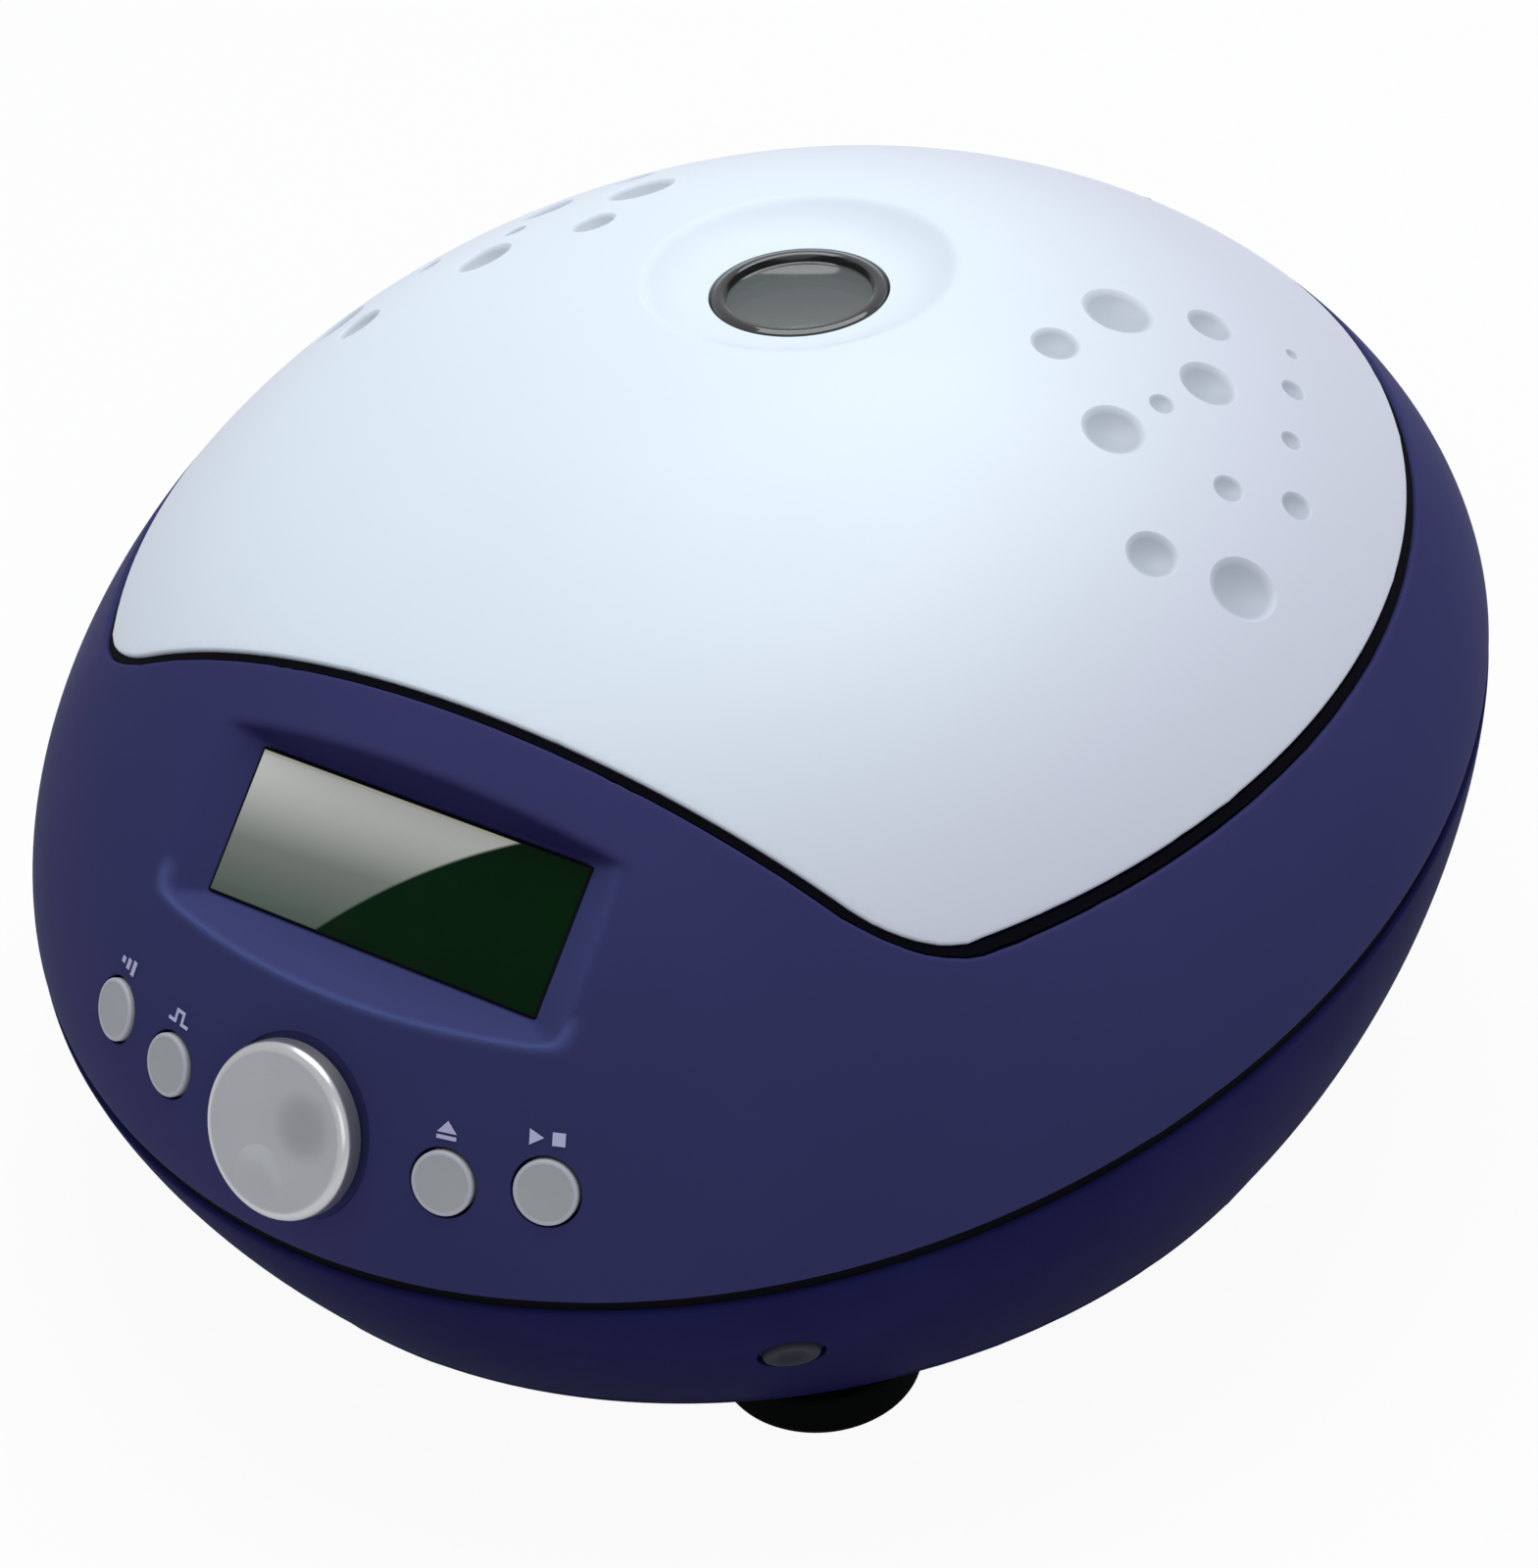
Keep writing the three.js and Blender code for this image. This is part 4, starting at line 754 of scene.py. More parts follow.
hinge = {
    "place": Vector((0, 117.1 * mm, 111.275 * mm)),
    "half": 16.2 * mm,
    "round": 3 * mm,
    "rimDrop": 1.4 * mm,
    "rimTilt": outline["rise"],
    "rimDeep": 10 * mm,
    "rimLow": -1.5 * mm,
    "rimHigh": 1.3 * mm,
}


def hingeTool():  # the room that the hinge's barrels take out of lid and housing
    barrel = bore(hinge["round"], -hinge["half"], hinge["half"])
    return placed(barrel, Matrix.Translation(hinge["place"]) @ Matrix.Rotation(math.pi / 2, 4, "Y"))


def rimTool():  # and the room over them in the lid's rear rim
    half = hinge["half"]
    bar = block("rimTool", (-half, -hinge["rimDeep"], hinge["rimLow"]), (half, 0, hinge["rimHigh"]))
    level = Matrix.Translation(hinge["place"] + Vector((0, 0, hinge["rimDrop"])))
    return placed(bar, level @ Matrix.Rotation(hinge["rimTilt"], 4, "X"))


def inDish(place):
    return fromSpindle(place) < lid["dishZone"]


def addLid():
    piece = twin(eggSkin, "lidShell")
    for point, way in outlinePlanes(-lid["lip"]):
        cutPlane(piece, point, way, clear=True)
    rest()
    placed(piece, eggFrame)
    choose(piece, inDish, "faces")
    bpy.ops.mesh.subdivide(number_cuts=2)
    rest()
    snap(piece, inDish)
    for vert in piece.data.vertices:
        if inDish(vert.co):
            vert.co.z = softLeast(vert.co.z, dishHeight(fromSpindle(vert.co)), lid["dishRound"])
    shell(piece, lid["wall"], lid["lip"])
    low = lid["dishFloor"] - lid["holeReach"]
    hole = bore(lid["holeRadius"], low, low + 2 * lid["holeReach"], 128)
    carve(piece, placed(hole, atSpindle))
    carve(piece, hingeTool())
    carve(piece, rimTool())
    carve(piece, dimpleTool())
    # each point's depth in a dimple, which the lid's finish turns into painted shade
    marked(piece, "dip", dipReading)
    dress(piece, "lid", lidWhite, ["lid_shell"], 13)
    print("lid shaped:", len(piece.data.polygons), "faces")


def dimpleDepth(width):
    return min(dimple["depth"], width * mm / 2 * dimple["share"])


def dipReading(place):  # how deep in a dimple a point lies, from 0 to 1
    for x, y, z, width in dimples:
        centre = Vector((math.copysign(x * mm, place.x), y * mm + behind, z * mm))
        if (place - centre).length < width * mm * dimple["reach"]:
            level, turn = eggReading(place)
            under = (eggPoint(level, turn, True) - place).length
            if under > dimple["below"]:
                return 0
            return within(under, dimple["shadeFrom"], dimple["shadeFull"] * dimpleDepth(width))
    return 0


def dimpleTool():  # a bowl one unit wide and deep, copied and sized for each dimple, all joined
    bowl = lathe("scoop", [(r / 8, -1 + (r / 8) ** 2) for r in range(10)] + [(9 / 8, 2), (0, 2)], 48)
    tools = []
    for x, y, z, width in dimples:
        for side in (1, -1):
            level, turn = eggReading(Vector((side * x * mm, y * mm + behind, z * mm)))
            upright = up.rotation_difference(eggOut(level, turn, True)).to_matrix().to_4x4()
            size = Matrix.Diagonal((width * mm / 2, width * mm / 2, dimpleDepth(width), 1))
            seat = Matrix.Translation(eggPoint(level, turn, True)) @ upright
            tools.append(placed(twin(bowl, "scoopTool"), seat @ size))
    erase(bowl)
    rest()
    for tool in tools:
        tool.select_set(True)
    bpy.context.view_layer.objects.active = tools[0]
    bpy.ops.object.join()
    return tools[0]


# how the dark sheet that stands in for the shade in the shut line is held back from the gap's edges, sunk
# and thick
gapShade = {"slack": 0.15 * mm, "sink": 0.7 * mm, "thick": 1.6 * mm}


def addGapShade():  # a black strip sunk under the shut line's gap: a dark sheet that stands in for the gap's shade
    piece = twin(eggSkin, "lidGapShade")
    for point, way in outlinePlanes(outline["gap"] - gapShade["slack"]):
        cutPlane(piece, point, way, clear=True)
    planes = outlinePlanes(gapShade["slack"])
    for point, way in planes:
        cutPlane(piece, point, way)
    clearInside(piece, planes)
    placed(piece, eggFrame)
    sunken(piece, gapShade["sink"], gapShade["thick"])
    carve(piece, hingeTool())
    dress(piece, "lid", gapShadeBlack)


addLid()
addGapShade()

# Upper housing: a blue band with the display's recess, the knob's well and the keys' holes
upper = {
    "wall": 3 * mm,
    "lip": 0.6 * mm,
    "seamLow": 70.3 * mm,
    "seamGap": 2.3 * mm,
    "seamTilt": math.radians(11.1),
    "cutMargin": 4 * mm,
    "cutReach": 14 * mm,
}
# the dark sheet that stands in for the shade in the seam: how far it reaches past the gap, how deep it is
# sunk and how thick
seamStrip = {"over": 0.2 * mm, "sink": 0.8 * mm, "thick": 1.4 * mm}
display = {
    "width": 64.4 * mm,
    "height": 24 * mm,
    "thick": 2 * mm,
    "ease": 0.35 * mm,
    "top": (0, -83 * mm + behind, 100.5 * mm),
    "lean": math.radians(43.8),
}
recess = {
    "gap": 0.55 * mm,
    "sink": 1.5 * mm,
    "sideDraft": 2.7,
    "topDraft": 0.62,
    "lowDraft": 1.04,
    "corner": 0.3 * mm,
    "cornerGrow": 0.9,
    "cornerReach": 6 * mm,
    "cornerRound": 0.5 * mm,
    "mouthRound": 1.6 * mm,
    "behind": 3.4 * mm,
    "ridge": 0.55 * mm,
    "ridgeWide": 0.9 * mm,
    "ridgeFrom": (9 * mm, 12 * mm),
    "zoneX": 48 * mm,
    "zoneY": 27 * mm,
    "zoneDeep": 16 * mm,
    "zoneFront": -78 * mm,
    "zoneBack": -60 * mm,
}
paintedLightAndShade = {  # painted light and shade on the recess's walls, a paler shelf, right wall and lower-left mitre and a darker roof and floor: their strengths, and where each starts and is full
    "shelf": 0.35,
    "right": 0.3,
    "mitre": 0.8,
    "mitreWide": 0.6 * mm,
    "mitreFrom": (mm, 3 * mm),
    "wallFrom": (-0.5 * mm, mm),
    "roofFrom": (-mm, 1.5 * mm),
    "roofEdge": (-0.8 * mm, 0.2 * mm),
    "floorFrom": (0.5 * mm, mm),
    "shelfDeep": (0, mm),
    "shadeDeep": (-0.5 * mm, mm),
}
knob = {
    "radius": 13.7 * mm,
    "well": 14.5 * mm,
    "wellDepth": 1.5 * mm,
    "wellOver": 9 * mm,
    "low": -0.2 * mm,
    "heel": 0.4 * mm,
    "proud": 3.9 * mm,
    "rim": (1.6 * mm, 1.5 * mm),
    "dish": ((11.6 * mm, 0.05 * mm), (6.85 * mm, 0.2 * mm), (0, 0.25 * mm)),  # radius and depth
    "scoop": (-1.6 * mm, -7.2 * mm),
    "scoopDrop": 0.15 * mm,
    "scoopWide": 4.6 * mm,
    "scoopDeep": 1 * mm,
    "scoopTop": 3 * mm,
    "scoopSteps": 10,
    "ringsPerMetre": 9 / mm,
    "ringDepth": 0.006 * mm,
    # where the rim's painted highlight starts and is full, where the skirt ends, and the painted
    # reflection's middle and squared reach
    "rimOut": (12 * mm, 12.6 * mm),
    "rimUp": (2.7 * mm, 3.1 * mm),
    "skirtUp": (2.2 * mm, 2.8 * mm),
    "worn": (5 * mm, 2.5 * mm),
    "paintedReflectionSquare": 40 * mm * mm,
}
keys = {
    "radius": 5 * mm,
    "hole": 5.5 * mm,
    "low": -2.5 * mm,
    "proud": 0.5 * mm,
    "round": 0.4 * mm,
    # the width of the painted highlight line round each key's top edge
    "rim": 0.6 * mm,
    "dish": ((4.45 * mm, 0), (4.3 * mm, 0.06 * mm), (2.5 * mm, 0.09 * mm), (0, 0.1 * mm)),
    "turns": (-111.8, -103.7, -76.3, -68.2),
    "names": ("keyFarLeft", "keyLeft", "keyRight", "keyFarRight"),
    "nodes": ("button_far_left", "button_left", "button_right", "button_far_right"),
}
knobSeat = eggSeat(0.302, -math.pi / 2)
keySeats = [eggSeat(0.28, math.radians(turn)) for turn in keys["turns"]]
downTheFace = Vector((0, -math.cos(display["lean"]), -math.sin(display["lean"])))
displayPlace = Vector(display["top"]) + downTheFace * (display["height"] / 2)
displaySeat = Matrix.Translation(displayPlace) @ Matrix.Rotation(display["lean"], 4, "X")
displayBack = displaySeat.inverted()


def cutSeam(piece, side, away):  # clears what lies above (side 1) or below (side -1) the seam
    way = Vector((0, -math.sin(upper["seamTilt"]), math.cos(upper["seamTilt"]))) * side
    cutPlane(piece, Vector((0, behind, upper["seamLow"] + away)), way, clear=True)
    rest()


def addSeamStrip():  # the black strip between the two halves of the housing, a dark sheet that stands in for the shade in the seam's gap
    piece = twin(eggSkin, "seamStrip")
    placed(piece, eggFrame)
    reach = upper["seamGap"] / 2 + seamStrip["over"]
    cutSeam(piece, 1, reach)
    cutSeam(piece, -1, -reach)
    sunken(piece, seamStrip["sink"], seamStrip["thick"])
    dress(piece, "base", gapShadeBlack)


def softMost(values, reach):
    result = values[0]
    for value in values[1:]:
        result = -softLeast(-result, -value, reach)
    return result


def panHeight(u, v):  # the recess as a height above the glass's plane, with the painted shade and painted light of its walls
    side = (abs(u) - display["width"] / 2 - recess["gap"]) / recess["sideDraft"]
    top = (v - display["height"] / 2 - recess["gap"]) / recess["topDraft"]
    low = (-v - display["height"] / 2 - recess["gap"]) / recess["lowDraft"]
    reach = recess["cornerReach"]
    corner = recess["corner"] + recess["cornerGrow"] * within(max(side, top, low), 0, reach) * reach
    pan = softMost([softMost([side, top, low], corner), -recess["sink"]], recess["cornerRound"])
    # painted shade on the recess's roof; painted light on its shelf, its right wall and, on the left, the
    # mitre where shelf and side meet
    shade = within(top - max(side, low), *paintedLightAndShade["roofFrom"]) * within(top, *paintedLightAndShade["roofEdge"])
    shelf = paintedLightAndShade["shelf"] * within(low - max(side, top), *paintedLightAndShade["wallFrom"])
    if u < 0:
        mitre = (low - side) / paintedLightAndShade["mitreWide"]
        shelf = max(shelf, paintedLightAndShade["mitre"] * math.exp(-mitre * mitre) * within(low, *paintedLightAndShade["mitreFrom"]))
    else:
        shelf = max(shelf, paintedLightAndShade["right"] * within(side - max(low, top), *paintedLightAndShade["wallFrom"]))
    # painted shade on the recess's floor as well
    return pan, max(shade, within(-pan, *paintedLightAndShade["floorFrom"])), shelf


def sinkRecess(piece):
    group = piece.vertex_groups["inner"].index
    # marks for the finish: "ridge" carries painted light, "shade" painted shade
    for name in ("ridge", "shade"):
        piece.data.attributes.new(name, "FLOAT", "POINT")
    ridge, shade = (piece.data.attributes[name].data for name in ("ridge", "shade"))
    for vert in piece.data.vertices:
        u, v, h = displayBack @ vert.co
        if abs(u) > recess["zoneX"] or abs(v) > recess["zoneY"] or vert.co.y > recess["zoneBack"]:
            continue
        inside = any(g.group == group and g.weight > 0.5 for g in vert.groups)
        pan, dark, shelf = panHeight(u, v)
        if inside:
            pan -= recess["behind"]
        new = softLeast(h, pan, recess["mouthRound"])
        if not inside:
            over = (h - pan) / recess["ridgeWide"]
            crest = math.exp(-over * over) * within(-v, *recess["ridgeFrom"])
            new += recess["ridge"] * crest
            # painted light on the ridge's crest and the paler walls, painted shade on the roof and floor
            ridge[vert.index].value = max(crest, shelf * within(h - pan, *paintedLightAndShade["shelfDeep"]))
            shade[vert.index].value = dark * within(h - pan, *paintedLightAndShade["shadeDeep"])
        if new < h or not inside:
            vert.co = displaySeat @ Vector((u, v, new))


def nearRecess(place):
    u, v, h = displayBack @ place
    inZone = abs(u) < recess["zoneX"] and abs(v) < recess["zoneY"] and h > -recess["zoneDeep"]
    return inZone and place.y < recess["zoneFront"]


def cutOutline(piece, planes):  # cuts along the lid's outline, each plane only where it bounds the lid
    tests = [lambda place: (place - hornPlace).yz.length < upper["cutReach"]] * len(planes)
    tests[0] = lambda place: place.z > hornPlace.z - upper["cutMargin"]
    tests[-1] = lambda place: place.y > hornPlace.y - upper["cutMargin"]
    for (point, way), test in zip(planes, tests):
        cutPlane(piece, point, way, test=test)
    clearInside(piece, planes)


def addUpper():
    piece = twin(eggSkin, "upperHousing")
    cutOutline(piece, outlinePlanes(outline["gap"] + upper["lip"]))
    placed(piece, eggFrame)
    cutSeam(piece, -1, upper["seamGap"] / 2 + upper["lip"])
    shell(piece, upper["wall"], upper["lip"])
    choose(piece, nearRecess, "faces")
    bpy.ops.mesh.subdivide(number_cuts=3)
    rest()
    snap(piece, nearRecess, upper["wall"])
    sinkRecess(piece)
    carve(piece, placed(bore(knob["well"], -knob["wellDepth"], knob["wellOver"], 96), knobSeat))
    for seat in keySeats:
        carve(piece, placed(bore(keys["hole"], *through), seat))
    carve(piece, hingeTool())
    dress(piece, "base", shellBlue, ["upper_housing"], 24)
    print("upper housing shaped:", len(piece.data.polygons), "faces")


addUpper()
addSeamStrip()

# Lower housing: the dark belly, flat below, with a pocket behind for the power fittings
lower = {
    "wall": 3 * mm,
    "lip": 0.7 * mm,
    "underside": 8 * mm,
    "edge": 1.6 * mm,
    "edgeSteps": 4,
    "edgeDraw": 0.002,
    "edgePower": 1.6,
    "flatten": 0.25 * mm,
    "join": 0.3 * mm,
}
panel = {
    "half": 34 * mm,
    "low": 19 * mm,
    "high": 45 * mm,
    "y": 101 * mm + behind,
    "wall": 3 * mm,
    "ease": 1.5 * mm,
    "far": 140 * mm,
    "holeReach": 9 * mm,
    "holes": (  # middle, width and height
        (-12 * mm, 27.6 * mm, 20.6 * mm),
        (19 * mm, 13.6 * mm, 19.6 * mm),
    ),
    "inset": 0.987,  # the block behind stops just inside the egg's skin
}
plug = {
    "hole": 5.35 * mm,
    "stem": [(0, -8), (3, -8), (5, -3.6), (5, -1.1), (4.5, -0.8)],  # radius and height, in millimetres
    "shoulder": (3.9, -0.2),
    "round": 0.5,
    "face": [(2.4, 0.1), (1.8, -0.3), (0, -0.5)],
}
plugSeat = eggSeat(-0.177, math.radians(-53.8))


def closeUnderside(piece):  # cuts the egg level, rounds the cut's edge downwards and closes it
    level = lower["underside"] + lower["edge"]
    cutPlane(piece, Vector((0, 0, level)), -up, clear=True)
    choose(piece, lambda place: place.z < level + lower["flatten"])
    bpy.ops.transform.resize(value=(1, 1, 0), center_override=(0, 0, level))
    bpy.ops.mesh.remove_doubles(threshold=lower["join"])
    bpy.ops.mesh.select_mode(type="EDGE")
    only = {"use_wire": False, "use_multi_face": False, "use_non_contiguous": False, "use_verts": False}
    bpy.ops.mesh.select_non_manifold(extend=False, **only)
    quarter = math.pi / 2 / lower["edgeSteps"]
    for i in range(lower["edgeSteps"]):
        drop = lower["edge"] * (math.sin(quarter * (i + 1)) - math.sin(quarter * i))
        share = 1 - lower["edgeDraw"] * (i + 1) ** lower["edgePower"]
        bpy.ops.mesh.extrude_region_move(TRANSFORM_OT_translate={"value": (0, 0, -drop)})
        bpy.ops.transform.resize(value=(share, share, 1), center_override=(0, behind, 0))
    bpy.ops.mesh.edge_face_add()
    rest()


def addPocket(piece, solid):  # the sunk rear panel, on a wall that ends inside the egg
    half, wall, low, high, far = [panel[key] for key in ("half", "wall", "low", "high", "far")]
    corner = (-half - wall, panel["y"] - wall, low - wall)
    back = block("pocketWall", corner, (half + wall, far, high + wall))
    carve(back, solid, "INTERSECT")
    carve(piece, back, "UNION")
    pocket = block("pocketTool", (-half, panel["y"], low), (half, far, high))
    carve(piece, soften(pocket, panel["ease"], 3))
    z = (low + high) / 2
    for x, width, height in panel["holes"]:
        corner = (x - width / 2, panel["y"] - panel["holeReach"], z - height / 2)
        carve(piece, block("fittingTool", corner, (x + width / 2, far, z + height / 2)))


def addLower():
    piece = twin(eggSkin, "lowerHousing")
    placed(piece, eggFrame)
    solid = twin(piece, "eggTool")
    middle = Matrix.Translation(egg["centre"])
    placed(solid, middle @ Matrix.Scale(panel["inset"], 4) @ middle.inverted())
    closeUnderside(piece)
    cutSeam(piece, 1, -upper["seamGap"] / 2 - lower["lip"])
    shell(piece, lower["wall"], lower["lip"])
    addPocket(piece, solid)
    carve(piece, placed(bore(plug["hole"], *through), plugSeat))
    dress(piece, "base", bellyBlue, ["lower_housing"], 24)
    print("lower housing shaped:", len(piece.data.polygons), "faces")


addLower()
erase(eggSkin)

# Window: smoked glass in the middle of the dish, with a black border
window = {
    "radius": 14.7 * mm,
    "clear": 12.1 * mm,
    "blur": 0.3 * mm,
    "top": 136.6 * mm,
    "thick": 3 * mm,
    "ease": 0.3 * mm,
    "lift": 0.1 * mm,
    "bead": 1.4 * mm,
    "beadSize": (0.9 * mm, 0.4 * mm),
    "groove": ((2.5 * mm, 1 * mm), (2.9 * mm, 1.2 * mm)),  # in from the edge, and down
    "sunk": 1 * mm,
}
ring = {"inner": 12.2 * mm, "outer": 17.2 * mm, "low": 130.8 * mm, "high": 133 * mm, "ease": 0.3 * mm}


def paintWindow():
    paint = Paint("smokedGlass")
    x, y, z = paint.axes()
    away = ((x ** 2) + (y - lid["spindle"].y) ** 2) ** 0.5
    border = away.step(window["clear"] - window["blur"], window["clear"])
    haze = paint.noise(7 * mm)
    return paint.finish(
        colour=paint.blend(border, tint(98, 107, 107), tint(34, 36, 39)),
        rough=0.07 + haze * 0.04,
        alpha=0.62 + border * 0.38,
        coat=0.5,
        coatRough=0.04,
    )


def addWindow():
    edge, top = window["radius"], window["top"]
    low = top - window["thick"]
    ease = window["ease"]
    profile = [(0, low), (edge, low), (edge, top - ease), (edge - ease, top + window["lift"])]
    profile += arc((edge - window["bead"], top), window["beadSize"], 30, 150, 6)
    profile += [(edge - inwards, top - down) for inwards, down in window["groove"]]
    profile += [(0, top - window["sunk"])]
    piece = placed(lathe("lidWindow", profile, 128), atSpindle)
    dress(piece, "lid", paintWindow(), ["lid_window"], 30)
    inner, outer, low, high = [ring[key] for key in ("inner", "outer", "low", "high")]
    profile = [(inner, low), (outer, low), (outer, high), (inner, high), (inner, low)]
    piece = soften(placed(lathe("windowRing", profile), atSpindle), ring["ease"])
    dress(piece, "lid", blackPlastic, ["window_ring"])


addWindow()

# Display: a glass with a painted reflection, a grey glare that ends in an arc over the dark green
glare = {
    # the painted reflection's arc, blur and tilt; the black frame's line widths; and the width of the
    # painted highlight line at the top
    "middle": (66.9 * mm, -78.2 * mm),
    "radius": 101.7 * mm,
    "blur": 0.6 * mm,
    "lean": -0.12,
    "sideLine": 0.5 * mm,
    "topLine": 0.4 * mm,
    "litLine": 0.9 * mm,
    "lineBlur": 0.1 * mm,
}


def paintDisplay():
    paint = Paint("displayGlass")
    u, v, h = paint.turned(displaySeat)
    middle, radius = glare["middle"], glare["radius"]
    # painted reflection: a grey glare, paler towards the top, that ends in an arc over the dark green
    away = ((u - middle[0]) ** 2 + (v - middle[1]) ** 2) ** 0.5
    sheen = away.step(radius, radius + glare["blur"])
    height = (v / display["height"] + 0.5 + u * (glare["lean"] / display["width"])).most(0).least(1)
    stops = [(0.0, tint(88, 104, 92)), (0.45, tint(130, 135, 129)), (1.0, tint(232, 233, 227))]
    grey = paint.add("ShaderNodeValToRGB", {"stops": stops}, {0: height})
    green = paint.blend(paint.noise(6 * mm), tint(0, 36, 8), tint(0, 29, 7))
    side, top = display["width"] / 2 - glare["sideLine"], display["height"] / 2 - glare["topLine"]
    frame = u.size().step(side - glare["lineBlur"], side)
    frame = frame.most(v.size().step(top - glare["lineBlur"], top))
    # a painted highlight line along the glass's top edge, inside the glare
    lit = display["height"] / 2 - glare["litLine"]
    pane = paint.blend(v.step(lit - glare["lineBlur"], lit), grey, tint(222, 219, 198))
    return paint.finish(
        colour=paint.blend(frame, paint.blend(sheen, green, pane), tint(9, 9, 14)),
        rough=0.16 + sheen * 0.16,
        shine=0.06,
    )


def addDisplay():
    x, y = display["width"] / 2, display["height"] / 2
    piece = block("displayGlass", (-x, -y, -display["thick"]), (x, y, 0))
    soften(piece, display["ease"])
    placed(piece, displaySeat)
    dress(piece, "base", paintDisplay(), ["display_glass"])


addDisplay()


# Knob: a satin disc with a rounded rim and a finger scoop; a painted highlight brightens the polished rim,
# and a painted reflection darkens the face
def dished(button):  # the points of a slightly hollow face, from its rim to its middle
    return [(radius, button["proud"] - depth) for radius, depth in button["dish"]]


def addKnob():
    r, top = knob["radius"], knob["proud"]
    wide, high = knob["rim"]
    profile = [(0, knob["low"]), (r - knob["heel"], knob["low"]), (r, knob["low"] + knob["heel"])]
    profile += arc((r - wide, top - high), knob["rim"], 0, 84, 8) + dished(knob)
    piece = lathe("knob", profile, 128)
    wide, deep, steps = [knob[key] for key in ("scoopWide", "scoopDeep", "scoopSteps")]
    hollow = [(wide * i / steps, deep * ((i / steps) ** 2 - 1)) for i in range(steps + 3)]
    scoop = lathe("scoopTool", hollow + [(0, knob["scoopTop"])], 64)
    carve(piece, placed(scoop, Matrix.Translation((*knob["scoop"], top - knob["scoopDrop"]))))
    placed(piece, knobSeat)
    dress(piece, "knob", paintKnob(), ["knob"], 16)


def paintKnob():
    paint = Paint("satinKnob")
    u, v, h = paint.turned(knobSeat)
    away = (u ** 2 + v ** 2) ** 0.5
    rings = (away * knob["ringsPerMetre"]).wave()
    # painted highlight on the rounded rim, which is also polished: less rough
    rim = away.step(*knob["rimOut"]) * h.step(*knob["rimUp"])
    skirt = 1 - h.step(*knob["skirtUp"])
    # a painted reflection: a dark patch on the face, right of its middle
    x, y = knob["worn"]
    worn = 1 - ((u - x) ** 2 + (v - y) ** 2).step(0, knob["paintedReflectionSquare"])
    cloud = paint.noise(11 * mm)
    bright = paint.blend(cloud, tint(194, 196, 200), tint(183, 185, 189))
    face = paint.blend(worn * 0.5, bright, tint(140, 142, 146))
    return paint.finish(
        colour=paint.blend(rim, paint.blend(skirt, face, tint(186, 188, 184)), tint(214, 215, 217)),
        rough=0.34 - rim * 0.12 + cloud * 0.05,
        metal=0.9,
        normal=paint.bump(rings * (1 - rim), knob["ringDepth"], 0.3),
    )


addKnob()


# Keys: four flat grey buttons, with a generic mark above each
def addKeys():
    r, round = keys["radius"], keys["round"]
    profile = [(0, keys["low"]), (r, keys["low"]), (r, 0)]
    profile += arc((r - round, keys["proud"] - round), (round, round), 10, 90, 4) + dished(keys)
    first = lathe("key", profile, 64)
    # the painted highlight line round the key's top edge
    marked(first, "rim", lambda place: float(place.xy.length > r - keys["rim"] and place.z > 0))
    for name, node, seat in zip(keys["names"], keys["nodes"], keySeats):
        piece = placed(twin(first, name), seat)
        dress(piece, node, keyGrey, [node], 20)
    erase(first)


addKeys()


marks = {"above": 7.8 * mm, "thick": 0.12 * mm, "lift": 0.1 * mm}


def markSeat(seat):  # a place above a key
    level, turn = eggReading(seat @ Vector((0, marks["above"], 0)))
    return eggSeat(level, turn)


def bar(x, y, width, height):  # outlines of marks, in millimetres
    left, low = x - width / 2, y - height / 2
    return [(left, low), (x + width / 2, low), (x + width / 2, y + height / 2), (left, y + height / 2)]


def wedge(x, y, width, height):
    return bar(x, y, width, height)[:2] + [(x, y + height / 2)]


def arrow(x, y, width, height):
    return [(x - width / 2, y - height / 2), (x + width / 2, y), (x - width / 2, y + height / 2)]


def pulse(end, side, rise, line):  # a square pulse drawn with a line
    half = line / 2
    low = [(end, -rise - half), (side - half, -rise - half), (side - half, rise - half)]
    high = [(end, half - rise), (side + half, half - rise), (side + half, rise + half)]
    return [(-x, y) for x, y in low] + low[::-1] + high + [(-x, y) for x, y in high[::-1]]


def flatMark(name, points, seat):  # an outline turned into a thin plate on the surface
    rest()
    web = bmesh.new()
    web.faces.new([web.verts.new((x, y, 0)) for x, y in millimetres(points)])
    web.normal_update()
    mesh = bpy.data.meshes.new(name)
    web.to_mesh(mesh)
    web.free()
    piece = bpy.data.objects.new(name, mesh)
    bpy.context.collection.objects.link(piece)
    applied(piece, "SOLIDIFY", {"thickness": marks["thick"], "offset": 0})
    placed(piece, seat @ Matrix.Translation((0, 0, marks["lift"])))
    dress(piece, "base", paleMark)


def addMarks():
    left, nearLeft, nearRight, right = [markSeat(seat) for seat in keySeats]
    for i in range(3):
        flatMark(f"timeMark{i + 1}", bar(-1.6 + 1.6 * i, 0, 0.9, 1.0 + 0.7 * i), left)
    flatMark("pulseMark", pulse(2.4, 0.8, 0.9, 0.5), nearLeft)
    flatMark("openMark", wedge(0, 0.5, 3.2, 1.8), nearRight)
    flatMark("openBar", bar(0, -1.1, 3.2, 0.6), nearRight)
    flatMark("runMark", arrow(-1.7, 0, 2.2, 2.4), right)
    flatMark("stopMark", bar(1.7, 0, 2.0, 2.0), right)


addMarks()
print("front fitted")

# Release plug and feet
def addPlug():
    shoulder = arc(plug["shoulder"], (plug["round"], plug["round"]), 0, 90, 4)
    piece = lathe("releasePlug", millimetres(plug["stem"] + shoulder + plug["face"]), 64)
    placed(piece, plugSeat)
    dress(piece, "release_plug", plugGrey, ["release_plug"])


